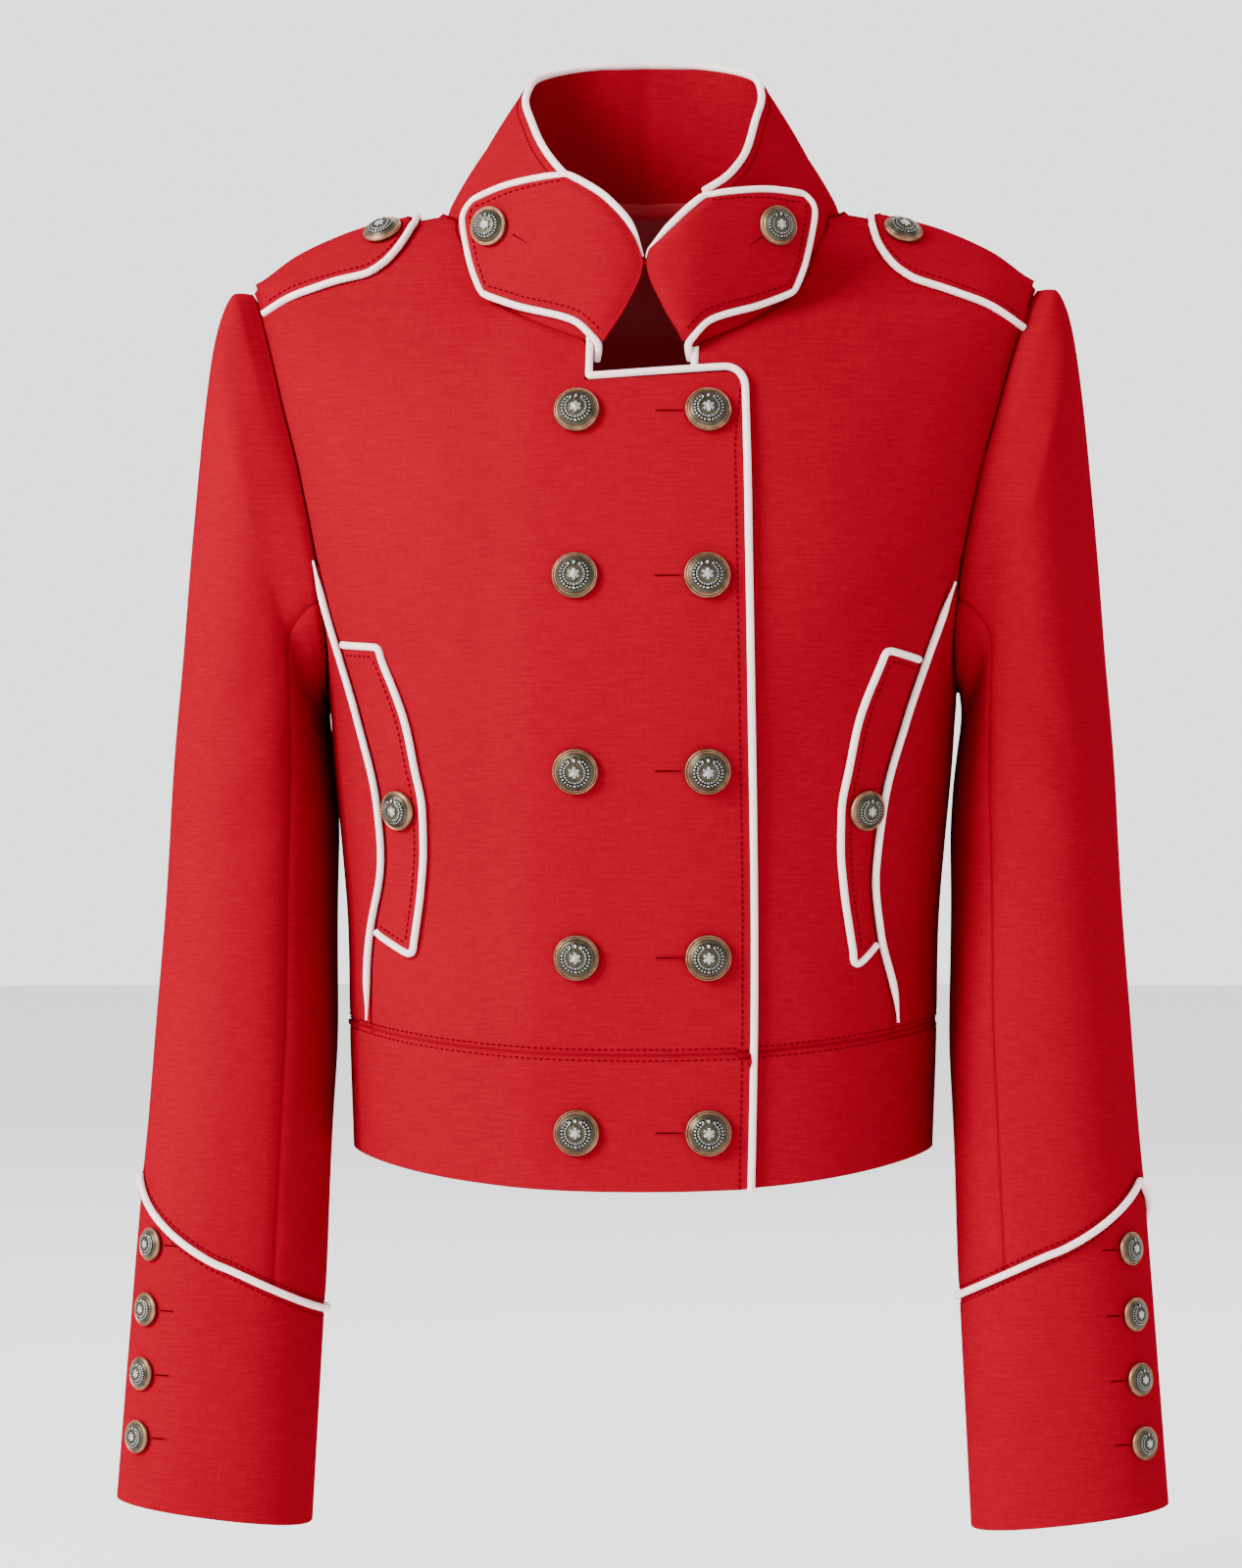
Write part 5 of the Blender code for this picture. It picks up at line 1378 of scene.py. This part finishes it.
class JACKET_OT_trim(bpy.types.Operator):
    """Make the collar, its tabs, the pocket flaps, the shoulder straps and the lining"""

    bl_idname = "jacket.trim"
    bl_label = "Collar, tabs, flaps and straps"

    def execute(self, context):
        density, thick, stiff = sizes().density, sizes().cloth, sizes().stiff_cloth
        red = material(wool)
        sheet("collar_stand", collar_net(density), stiff, red)
        for side, suffix in SIDES:
            sheet(f"collar_tab_{suffix}", tab_net(side, density), stiff, red)
            sheet(f"pocket_flap_{suffix}", flap_net(side, density), thick, red)
            sheet(f"shoulder_strap_{suffix}", strap_net(side, density), thick, red, level=False)
        net, lining = lining_net(density), sizes().lining
        sheet("lining_back_neck", net, lining, material(satin), slot="satin_lining")
        return {"FINISHED"}


# ------------------------------------------------ cords

EDGE_SPACING, EDGE_ROUNDS, CORD_SPACING = 0.0010, 5, 0.0012
# A tab's cord: where it starts and ends, thinner where the tabs meet, sunk there into the fold, and
# hooked round the tab's lower corner
MEETING_TRIM, TAB_CORD_TRIM = -0.25, 0.0010
CORD_LEAST, CORD_THIN_REACH = 0.32, 0.0200
CORD_SINK, CORD_SINK_REACH = 0.0018, 0.0180
HOOK_DOWN, HOOK_OUT, HOOK_BACK = 0.0078, 0.0012, 0.0030
# How much higher than the cloth the notch's cord ends
NOTCH_CORD_RISE = 0.0035
# What the side-front cords leave free at their feet and, on each side, at their tops
SEAM_CORD_FOOT, SEAM_CORD_TOP, SEAM_CORD_THIN = 0.0042, {1: 0.015, -1: 0.004}, 0.020
# How much lower than the other cords these lie in the cloth
SEAM_CORD_SUNK, CUFF_CORD_SUNK, TRIM_CORD_LIFT, NOTCH_CORD_LIFT = 0.0008, 0.0010, -0.0004, -0.0006


def run_along(path):
    """How far along the path each of its points lies."""
    return np.concatenate([[0.0], np.cumsum(np.linalg.norm(np.diff(path, axis=0), axis=1))])


def read_along(line, run, at):
    """The line's points or directions at these distances along it."""
    return np.stack([np.interp(at, run, line[:, k]) for k in range(3)], axis=1)


def evened(path, spacing, closed=False):
    """The path again with points evenly spaced."""
    path = np.asarray(path, float)
    if closed:
        path = np.vstack([path, path[:1]])
    run = run_along(path)
    count = max(2, int(round(run[-1] / spacing)))
    even = read_along(path, run, np.linspace(0.0, run[-1], count + 1))
    return even[:-1] if closed else even


def softened(path, rounds, closed=False):
    """The path with its corners rounded."""
    path = path.copy()
    for _ in range(rounds):
        if closed:
            path = 0.5 * path + 0.25 * (np.roll(path, 1, axis=0) + np.roll(path, -1, axis=0))
        else:
            path[1:-1] = 0.5 * path[1:-1] + 0.25 * (path[:-2] + path[2:])
    return path


def evened_edge(path, normals, start=0.0, end=0.0):
    """An edge's points, directions and distances, evenly spaced, short of its start and end."""
    run = run_along(path)
    at = np.linspace(start, run[-1] - end, max(2, int(run[-1] / EDGE_SPACING)))
    normals = unit(softened(read_along(normals, run, at), EDGE_ROUNDS))
    return read_along(path, run, at), normals, at - start


def beside(path, normals, side, lift=0.0, thin=1.0):
    """The line of a cord that lies against an edge, moved out of the cloth square to the edge."""
    heading = unit(softened(np.gradient(path, axis=0), EDGE_ROUNDS))
    outward = unit(np.cross(heading, normals)) * side
    return path + outward * (sizes().piping * thin + CORD_GAP) + normals * lift


def thinned(run, reach, least=CORD_LEAST):
    """How thick a cord is at a distance from its thin end, as a share."""
    return lerp(least, 1.0, smoothstep(run / reach))


def hooked(path, side):
    """A tab's cord carried on down round the tab's lower corner and behind it."""
    share = np.linspace(0.0, 1.0, 9)[1:]
    over = stacked(side * HOOK_OUT * share ** 2, HOOK_BACK * share ** 2, -HOOK_DOWN * share)
    return np.vstack([path, path[-1] + over])


def curve_piece(name, paths, radius, finish, slot, nodes, closed=False, sides=3, thin=None):
    """Round cords along the paths as one piece; thin is the share of the radius at each point."""
    curve = bpy.data.curves.new(name, "CURVE")
    curve.dimensions = "3D"
    curve.bevel_depth = radius
    curve.bevel_resolution = sides
    curve.use_fill_caps = True
    for path in paths:
        spline = curve.splines.new("POLY")
        spline.points.add(len(path) - 1)
        spline.use_cyclic_u = closed
        shares = np.ones(len(path)) if thin is None else thin
        for point, place, share in zip(spline.points, path, shares):
            point.co = (*place, 1.0)
            point.radius = share
    return finish_piece(name, curve, finish, slot, nodes)


def piping(name, path, closed=False, corner=3, start=0.0, end=0.0):
    """A cord in place of the solid of the same name, thinner over the given lengths at its ends."""
    path = softened(evened(path, CORD_SPACING, closed), corner, closed)
    run = run_along(path)
    thin = np.ones(len(path))
    if start:
        thin = thin * thinned(run, start)
    if end:
        thin = thin * thinned(run[-1] - run, end)
    finish = material(cord_cloth)
    curve_piece(
        name + "_cord", [path], sizes().piping, finish, "white_piping", [name], closed, thin=thin)


def line_on_form(x, z, lift):
    """Points and directions on the body's left half where it has these X and heights."""
    turn = turn_at(x, z)
    return on_form(turn, z, lift), body_normal(turn, z)


def edge_path(net, order):
    """Points and directions along named sides of a net; a minus sign walks a side backwards."""
    points, normals, every = [], [], slice(None)
    lines = {"left": (0, every), "right": (-1, every), "bottom": (every, 0), "top": (every, -1)}
    for side in order.split():
        step = -1 if side.startswith("-") else 1
        line = lines[side.lstrip("-")]
        points.append(net.points[line][::step])
        normals.append(net.normals[line][::step])
    points, normals = np.vstack(points), np.vstack(normals)
    fresh = np.concatenate([[True], np.linalg.norm(np.diff(points, axis=0), axis=1) > 1e-7])
    return points[fresh], normals[fresh]


def lap_path():
    """Up the lapping front's edge, round its corner, along its top and up the notch, at +X."""
    corner_x, corner_z = LAP_EDGE(FRONT_TOP_Z).x, FRONT_TOP_Z + FRONT_TOP_RISE
    z = np.linspace(float(hem_z(0.0)), corner_z - LAP_CORNER, 160)
    edge = [LAP_EDGE(z).x, z]
    angle = np.radians(np.linspace(10.0, 90.0, 9))
    centre_x, centre_z = corner_x - LAP_CORNER, corner_z - LAP_CORNER
    arc = [centre_x + LAP_CORNER * np.cos(angle), centre_z + LAP_CORNER * np.sin(angle)]
    notch = -NOTCH_X + float(closure_shift(NOTCH_X))
    share = np.linspace(0.05, 1.0, 40)
    top = [lerp(corner_x - LAP_CORNER, notch, share), lerp(corner_z, FRONT_TOP_Z, share)]
    up = np.linspace(FRONT_TOP_Z + 0.002, NOTCH_TOP_Z + NOTCH_CORD_RISE, 9)
    return [np.concatenate(parts) for parts in zip(edge, arc, top, [np.full_like(up, notch), up])]


class JACKET_OT_piping(bpy.types.Operator):
    """Lay the white cords along the seams and edges"""

    bl_idname = "jacket.piping"
    bl_label = "Piping"

    def execute(self, context):
        for side, suffix in SIDES:
            foot, top = SEAM_FOOT_Z + SEAM_CORD_FOOT, SIDE_FRONT_TOP_Z - SEAM_CORD_TOP[side]
            z, thin = np.linspace(foot, top, 160), SEAM_CORD_THIN
            path, _ = line_on_form(seam_x(z, side), z, CORD_LIFT - SEAM_CORD_SUNK)
            path = mirrored_if(side, path)
            piping(f"piping_side_front_{suffix}", path, corner=1, start=thin, end=thin)

            steps = np.linspace(0.0, AROUND, 193)[:-1]
            along, lift = cuff_seam_along(steps, side), CORD_LIFT - CUFF_CORD_SUNK
            path = sleeve(steps, along) + sleeve_normal(steps, along) * lift
            piping(f"piping_cuff_{suffix}", mirrored_if(side, path), True, 1)

            net = NETS[f"pocket_flap_{suffix}"]
            path, normals, _ = evened_edge(*edge_path(net, "top -right -bottom"))
            path = beside(path, normals, -net.outward, TRIM_CORD_LIFT)
            piping(f"piping_flap_{suffix}", path)

            net = NETS[f"shoulder_strap_{suffix}"]
            path, normals, _ = evened_edge(*edge_path(net, "bottom right -top"))
            path = beside(path, normals, net.outward, TRIM_CORD_LIFT)
            piping(f"piping_strap_{suffix}", path)

            net = NETS[f"collar_tab_{suffix}"]
            path, normals = edge_path(net, "left top -right -bottom")
            rows = spaced(TAB_ROWS, sizes().density)
            meeting = int(np.searchsorted(rows, TAB_ROWS / 2 + MEETING_TRIM))
            path, normals, run = evened_edge(path[meeting:], normals[meeting:], 0.0, TAB_CORD_TRIM)
            sunk = sizes().stiff_cloth / 2.0 + CORD_SINK * (1.0 - smoothstep(run / CORD_SINK_REACH))
            thin = thinned(run, CORD_THIN_REACH)[:, None]
            path = hooked(beside(path, normals, -net.outward, -sunk[:, None], thin), side)
            piping(f"piping_tab_{suffix}", path, start=CORD_THIN_REACH)

        net = NETS["collar_stand"]
        shown = np.searchsorted(spaced(COLLAR_COLUMNS, sizes().density), COLLAR_SHOWN)
        edge, normals = edge_path(net, "top")
        up = unit(net.points[:, -1] - net.points[:, -2])
        path = edge - normals * sizes().stiff_cloth / 2.0 + up * (sizes().piping + CORD_GAP)
        piping("piping_collar", path[shown[0]:shown[1]], corner=2)

        path, normals, _ = evened_edge(*line_on_form(*lap_path(), 0.0))
        piping("piping_front_edge", beside(path, normals, 1, CORD_LIFT))
        notch = NOTCH_X + float(closure_shift(NOTCH_X))
        z = np.linspace(NOTCH_TOP_Z, FRONT_TOP_Z + 0.006, 12)
        path, normals = line_on_form(np.full_like(z, notch), z, 0.0)
        piping("piping_notch", beside(path, normals, 1, NOTCH_CORD_LIFT))
        return {"FINISHED"}


# ------------------------------------------------ buttons

# Profile of a domed button from its middle to its back, as shares of its radius
BUTTON_DOME = Table(
    "radius height",
    (0.00, 0.500), (0.30, 0.478), (0.55, 0.415), (0.74, 0.318), (0.82, 0.250), (0.86, 0.205),
    (0.90, 0.235), (0.95, 0.225), (0.985, 0.175), (1.00, 0.110))
BUTTON_RADII = np.concatenate([
    np.linspace(0.02, 0.84, 26), (0.86, 0.88, 0.90, 0.925, 0.95, 0.97, 0.985, 0.995, 1.0)])
BUTTON_BACK = ((0.97, 0.0, 0.02), (0.90, 0.0, 0.0), (0.0, 0.0, 0.0))
BUTTON_SIDES = 96
PETALS, LEAVES, ROPE_TURNS = 6, 26, 26
RELIEF_HEIGHT, ROPE_HEIGHT = 0.075, 0.012


def button_relief(radius, angle):
    """Heights of a button's pattern: a rosette in a wreath open at the top, and a roped rim."""
    in_petals = 0.5 * PETALS * angle + math.pi / 2.0
    petal = np.abs(np.cos(in_petals)) ** 0.7
    rosette = smoothstep((0.13 + 0.17 * petal - radius) / 0.05)
    vein = 1.0 - 0.55 * np.exp(-((np.sin(in_petals) / 0.22) ** 2))
    boss = smoothstep((0.085 - radius) / 0.03)
    from_top = np.abs((angle - math.pi / 2.0 + math.pi) % math.tau - math.pi)
    opened = smoothstep((from_top - 0.45) / 0.25)
    slant = np.sign((angle + math.pi / 2.0) % math.tau - math.pi)
    leaf = 0.5 + 0.5 * np.cos(LEAVES * angle + slant * 16.0 * (radius - 0.53))
    inner = np.exp(-(((radius - 0.455) / 0.060) ** 4)) * leaf ** 0.8
    outer = np.exp(-(((radius - 0.600) / 0.060) ** 4)) * (1.0 - leaf) ** 0.8
    wreath = opened * np.maximum(inner, outer)
    rays = 0.45 + 0.55 * np.cos(12.0 * from_top)
    crown = (1.0 - opened) * np.exp(-(((radius - 0.52) / 0.10) ** 4)) * rays
    strands = 0.6 + 0.4 * np.cos(ROPE_TURNS * angle + 40.0 * radius)
    rope = np.exp(-(((radius - 0.93) / 0.035) ** 2)) * strands
    raised = np.maximum.reduce([rosette * vein + 0.3 * boss, wreath, crown])
    return RELIEF_HEIGHT * raised, ROPE_HEIGHT * rope


def button_template():
    """One button of radius 1 on its back, with its relief and its rim as attributes."""
    mesh = bmesh.new()
    line = [mesh.verts.new((0.0, 0.0, 0.5))]
    line += [mesh.verts.new((radius, 0.0, 0.0)) for radius in BUTTON_RADII]
    line += [mesh.verts.new(place) for place in BUTTON_BACK]
    edges = [mesh.edges.new(pair) for pair in zip(line, line[1:])]
    bmesh.ops.spin(
        mesh, geom=line + edges, axis=(0, 0, 1), cent=(0, 0, 0), angle=math.tau,
        steps=BUTTON_SIDES, use_merge=True)
    bmesh.ops.remove_doubles(mesh, verts=mesh.verts, dist=1e-5)
    relief, rim = mesh.verts.layers.float.new("relief"), mesh.verts.layers.float.new("rim")
    for vert in mesh.verts:
        radius, angle = math.hypot(vert.co.x, vert.co.y), math.atan2(vert.co.y, vert.co.x)
        vert[rim] = float(smoothstep((radius - 0.80) / 0.05))
        if vert.co.z == 0.5 or (vert.co.z == 0.0 and 0.0 < radius and abs(radius - 0.90) > 1e-4):
            inside, outside = button_relief(radius, angle)
            vert.co.z = float(BUTTON_DOME(radius).height + inside + outside)
            vert[relief] = float(inside / RELIEF_HEIGHT)
    bmesh.ops.recalc_face_normals(mesh, faces=mesh.faces)
    return as_data(mesh, "button_template")


def button(template, name, place, normal, diameter):
    """The template as one button, with its back on the cloth."""
    mesh = bmesh.new()
    mesh.from_mesh(template)
    place, normal = Vector(place), Vector(normal)
    turned = normal.to_track_quat("Z", "Y").to_matrix().to_4x4()
    seated = Matrix.Translation(place + normal * BUTTON_SEAT)
    matrix = seated @ turned @ Matrix.Scale(diameter / 2.0, 4)
    bmesh.ops.transform(mesh, matrix=matrix, verts=mesh.verts)
    data = as_data(mesh, name)
    data.shade_smooth()
    finish_piece(name + "_metal", data, material(metal), "antique_brass", [name])


# A share of the sleeve's length that lies above every cuff button
ON_CUFF = 0.9
TAB_BUTTON_LIFT = 0.0006


def button_places():
    """Every button: its node's name, its place, its direction and its diameter."""
    for column, x in FRONT_BUTTON_XS:
        for row, z in enumerate(FRONT_BUTTON_ZS, 1):
            place, normal = line_on_form(np.array(x), np.array(z), LAYER)
            yield f"button_front_{column}_{row}", place, normal, FRONT_BUTTON
    for side, suffix in SIDES:
        mirrored = functools.partial(mirrored_if, side)
        for row, z in enumerate(CUFF_BUTTON_ZS, 1):
            seat = CUFF_BUTTON_STEP, along_at(CUFF_BUTTON_STEP, np.array(z), ON_CUFF)
            place, normal = map(mirrored, (sleeve(*seat), sleeve_normal(*seat)))
            yield f"button_cuff_{suffix}_{row}", place, normal, CUFF_BUTTON
        x, z = np.array(FLAP_BUTTON[0] - side * FLAP_SHIFT), np.array(FLAP_BUTTON[1])
        place, normal = map(mirrored, line_on_form(x, z, LAYER))
        yield f"button_flap_{suffix}", place, normal, SMALL_BUTTON
        turn, z = strap_place(np.array(STRAP_BUTTON_X), np.array(STRAP_BUTTON_ACROSS), side)
        place, normal = map(mirrored, (on_form(turn, z, STRAP_LIFT), body_normal(turn, z)))
        yield f"button_strap_{suffix}", place, normal, SMALL_BUTTON
        x, z = map(np.array, TAB_BUTTON[side])
        place, normal = tab_point(x, z, side), tab_normal(x, z, side)
        yield f"button_tab_{suffix}", place + normal * TAB_BUTTON_LIFT, normal, SMALL_BUTTON


class JACKET_OT_buttons(bpy.types.Operator):
    """Make the metal buttons"""

    bl_idname = "jacket.buttons"
    bl_label = "Buttons"

    def execute(self, context):
        template = button_template()
        for name, place, normal, diameter in button_places():
            button(template, name, place, normal, diameter)
        bpy.data.meshes.remove(template)
        return {"FINISHED"}


# ------------------------------------------------ stitches and buttonholes


# Each stitch runs between these shares of its pitch, over its middle, and stands out of the cloth
STITCH_SHARES, STITCH_LIFT = (0.12, 0.50, 0.88), 0.35
# How far from its edge or seam each kind of row lies
FRONT_ROW, SEAM_ROW, COLLAR_ROW, FLAP_ROW, STRAP_ROW, CUFF_ROW = (
    0.0038, 0.0026, 0.0032, 0.0028, 0.0030, 0.0040)
FRONT_ROW_SKIP = 0.004
# A buttonhole: half its width, its lip, its slit and how far the slit stops short of the lip
HOLE_HALF_WIDTH, LIP_RADIUS, SLIT_RADIUS, SLIT_SHORT = 0.00062, 0.00036, 0.00042, 0.0004
# Where the buttonholes end on the front, on the tabs and on the cuffs
FRONT_HOLE_XS, CUFF_HOLE_STEPS = (0.0098, 0.0226), (3.55, 4.30)
TAB_HOLE_XS, TAB_HOLE_ZS, TAB_HOLE_LIFT = (0.0596, 0.0524), (-0.0206, -0.0252), 0.0008


def sew(name, lines):
    """One piece of thread; each line is the points and directions of a row on the cloth."""
    mesh = bmesh.new()
    bmesh.ops.create_uvsphere(mesh, u_segments=6, v_segments=5, radius=1.0)
    template = as_data(mesh, "stitch_template")
    mesh = bmesh.new()
    pitch, radius = sizes().stitch, sizes().thread
    for points, normals in lines:
        run = run_along(points)
        count = max(2, int(run[-1] / pitch))
        for start in np.linspace(0.0, run[-1], count + 1)[:-1]:
            at = start + np.array(STITCH_SHARES) * pitch
            place = read_along(points, run, at)
            facing = Vector(read_along(normals, run, at[1:2])[0]).normalized()
            along = Vector(place[2] - place[0])
            first = len(mesh.verts)
            mesh.from_mesh(template)
            mesh.verts.ensure_lookup_table()
            across = facing.cross(along.normalized())
            axes = Matrix((along * 0.5, across * radius, facing * radius)).transposed().to_4x4()
            middle = Vector(place[1]) + facing * radius * STITCH_LIFT
            matrix = Matrix.Translation(middle) @ axes
            bmesh.ops.transform(mesh, matrix=matrix, verts=mesh.verts[first:])
    data = as_data(mesh, name)
    bpy.data.meshes.remove(template)
    data.shade_smooth()
    finish_piece(name, data, material(thread_cloth), "red_wool", [])


def free_rows(piece, distance):
    """Rows along the three free sides of this piece on the left and on the right."""
    names = [f"{piece}_{suffix}" for _, suffix in SIDES]
    return [(name, side, distance, distance) for name in names for side in FREE_SIDES]


def stitch_rows():
    """Each thread piece's rows: the net, its side, the distance from it and what is left out."""
    seams = [
        ("front_under", "bottom"), ("waistband_under", "top"),
        ("side_front_left", "bottom"), ("side_front_right", "bottom")]
    sleeves = [(f"cuff_{suffix}", "bottom") for _, suffix in SIDES]
    for part in ("upper", "under"):
        sleeves += [(f"sleeve_{part}_{suffix}", "top") for _, suffix in SIDES]
    return {
        "stitches_front": [
            ("front_lap", "left", FRONT_ROW, FRONT_ROW_SKIP),
            ("front_lap", "bottom", SEAM_ROW, 0.0),
            ("waistband_lap", "left", FRONT_ROW, 0.0), ("waistband_lap", "top", SEAM_ROW, 0.0),
        ] + [(*row, SEAM_ROW, 0.0) for row in seams],
        "stitches_back": [
            ("back", "bottom", SEAM_ROW, 0.0), ("waistband_back", "top", SEAM_ROW, 0.0)],
        "stitches_collar": [
            ("collar_stand", "top", COLLAR_ROW, 0.0), *free_rows("collar_tab", COLLAR_ROW)],
        "stitches_flaps": free_rows("pocket_flap", FLAP_ROW),
        "stitches_straps": free_rows("shoulder_strap", STRAP_ROW),
        "stitches_sleeves": [(*row, CUFF_ROW, 0.0) for row in sleeves],
    }


class JACKET_OT_stitches(bpy.types.Operator):
    """Sew the rows of topstitching beside edges and seams"""

    bl_idname = "jacket.stitches"
    bl_label = "Topstitching"

    def execute(self, context):
        for name, lines in stitch_rows().items():
            sew(name, [NETS[net].inset(*row) for net, *row in lines])
        return {"FINISHED"}


def hole_places():
    """Each buttonhole's two ends and its direction."""
    for z in FRONT_BUTTON_ZS:
        points, normals = line_on_form(np.array(FRONT_HOLE_XS), np.array((z, z)), LAYER)
        yield points, normals[0]
    for side, _ in SIDES:
        x, z = tab_folded(np.array(TAB_HOLE_XS), np.array(TAB_HOLE_ZS), side)
        normals = tab_normal(x, z, side)
        yield tab_point(x, z, side) + normals * TAB_HOLE_LIFT, normals[0]
        steps = np.array(CUFF_HOLE_STEPS)
        for z in CUFF_BUTTON_ZS:
            along = along_at(steps, np.array((z, z)), ON_CUFF)
            normals = mirrored_if(side, sleeve_normal(steps, along))
            yield mirrored_if(side, sleeve(steps, along)), normals[0]


class JACKET_OT_holes(bpy.types.Operator):
    """Work the buttonholes: a bound lip round a dark slit"""

    bl_idname = "jacket.holes"
    bl_label = "Buttonholes"

    def execute(self, context):
        lips, slits = [], []
        for ends, normal in hole_places():
            along = unit(ends[1] - ends[0])
            across = np.cross(normal, along) * HOLE_HALF_WIDTH
            turn = np.linspace(0.0, math.tau, 29)[:-1]
            reach = np.linalg.norm(ends[1] - ends[0]) / 2.0
            shape = np.sign(np.cos(turn)) * np.abs(np.cos(turn)) ** 0.35
            middle = ends.mean(axis=0)
            lips.append(middle + np.outer(shape * reach, along) + np.outer(np.sin(turn), across))
            short = along * SLIT_SHORT
            slits.append(np.linspace(ends[0] + short, ends[1] - short, 8))
        for name, lines, radius, make, closed in (
            ("buttonhole_lips", lips, LIP_RADIUS, lip_cloth, True),
            ("buttonhole_slits", slits, SLIT_RADIUS, slit_shadow, False),
        ):
            curve_piece(name, lines, radius, material(make), "red_wool", [], closed, 1)
        return {"FINISHED"}


# ------------------------------------------------ studio

VIEW_TURN = math.radians(2.7)
VIEW_DISTANCE, VIEW_X, VIEW_Z = 2.3, -0.011, -0.280
VIEW_LENS, SENSOR = 107.8, 36.0
FLOOR_Z, FLOOR_RADIUS = -0.760, 9.0
LIT_POINT = (0.0, 0.0, -0.25)
# The white round the stage: its strength at -Y and at +Y, and between which Y it changes
WORLD_RAMP = {"From Min": -0.5, "From Max": 0.4, "To Min": 1.05, "To Max": 2.15}


def area_light(name, place, size, power, colour):
    """A soft light at this place that looks at the middle of the jacket."""
    light = bpy.data.lights.new(name, "AREA")
    light.shape = "RECTANGLE"
    light.size, light.size_y = size
    light.energy = power
    light.color = colour
    made = bpy.data.objects.new(name, light)
    made.location = place
    made.rotation_euler = (Vector(LIT_POINT) - Vector(place)).to_track_quat("-Z", "Y").to_euler()
    bpy.context.scene.collection.objects.link(made)


class JACKET_OT_studio(bpy.types.Operator):
    """Set the camera, the lights and the pale floor"""

    bl_idname = "jacket.studio"
    bl_label = "Studio"

    def execute(self, context):
        camera = bpy.data.cameras.new("camera")
        camera.lens, camera.sensor_width = VIEW_LENS, SENSOR
        camera.clip_end = 60.0
        made = bpy.data.objects.new("camera", camera)
        aside, back = math.sin(VIEW_TURN), -math.cos(VIEW_TURN)
        made.location = (VIEW_X + VIEW_DISTANCE * aside, VIEW_DISTANCE * back, VIEW_Z)
        made.rotation_euler = (math.pi / 2.0, 0.0, VIEW_TURN)
        context.scene.collection.objects.link(made)
        context.scene.camera = made

        mesh = bmesh.new()
        bmesh.ops.create_circle(mesh, cap_ends=True, segments=96, radius=FLOOR_RADIUS)
        bmesh.ops.translate(mesh, verts=mesh.verts, vec=(0.0, 0.0, FLOOR_Z))
        data = as_data(mesh, "floor")
        floor = bpy.data.objects.new("floor", data)
        context.scene.collection.objects.link(floor)
        data.materials.append(material(paper))
        floor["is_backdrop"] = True

        world = bpy.data.worlds.new("studio")
        world.use_nodes = True
        nodes, links = world.node_tree.nodes, world.node_tree.links
        place, parts, soft = (nodes.new(kind) for kind in (
            "ShaderNodeTexCoord", "ShaderNodeSeparateXYZ", "ShaderNodeMapRange"))
        links.new(place.outputs["Generated"], parts.inputs["Vector"])
        links.new(parts.outputs["Y"], soft.inputs["Value"])
        for key, value in WORLD_RAMP.items():
            soft.inputs[key].default_value = value
        links.new(soft.outputs["Result"], nodes["Background"].inputs["Strength"])
        nodes["Background"].inputs["Color"].default_value = (1.0, 1.0, 1.0, 1.0)
        context.scene.world = world
        area_light("key_light", (-2.4, -1.9, 1.2), (1.4, 1.8), 270.0, (1.0, 0.985, 0.97))
        area_light("fill_light", (1.6, -2.6, 0.4), (1.6, 2.0), 24.0, (0.98, 0.99, 1.0))
        area_light("rim_light", (0.6, 2.4, 1.6), (1.6, 1.6), 50.0, (1.0, 1.0, 1.0))
        return {"FINISHED"}


class JACKET_PT_sidebar(bpy.types.Panel):
    """Lists the pieces of the jacket"""

    bl_idname = "JACKET_PT_sidebar"
    bl_label = "Military jacket"
    bl_space_type = "VIEW_3D"
    bl_region_type = "UI"
    bl_category = "Jacket"

    def draw(self, context):
        for group in (context.scene.jacket_sizes, context.scene.jacket_colours):
            for name in group.__annotations__:
                self.layout.prop(group, name)
        for operator in OPERATORS:
            self.layout.operator(operator.bl_idname)


OPERATORS = (
    JACKET_OT_studio, JACKET_OT_body, JACKET_OT_sleeves, JACKET_OT_trim, JACKET_OT_piping,
    JACKET_OT_buttons, JACKET_OT_stitches, JACKET_OT_holes)
CLASSES = (JacketSizes, JacketColours, *OPERATORS, JACKET_PT_sidebar)


def register():
    for kind in CLASSES:
        bpy.utils.register_class(kind)
    bpy.types.Scene.jacket_sizes = bpy.props.PointerProperty(type=JacketSizes)
    bpy.types.Scene.jacket_colours = bpy.props.PointerProperty(type=JacketColours)


def unregister():
    del bpy.types.Scene.jacket_colours
    del bpy.types.Scene.jacket_sizes
    for kind in reversed(CLASSES):
        bpy.utils.unregister_class(kind)


def main():
    register()
    for step in (
        bpy.ops.jacket.studio, bpy.ops.jacket.body, bpy.ops.jacket.sleeves,
        bpy.ops.jacket.trim, bpy.ops.jacket.piping, bpy.ops.jacket.buttons,
        bpy.ops.jacket.stitches, bpy.ops.jacket.holes,
    ):
        step()
    {"cad": [list(c) for c in CAD_BOX], "visual": [list(c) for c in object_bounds()]}


if __name__ == "__main__":
    main()
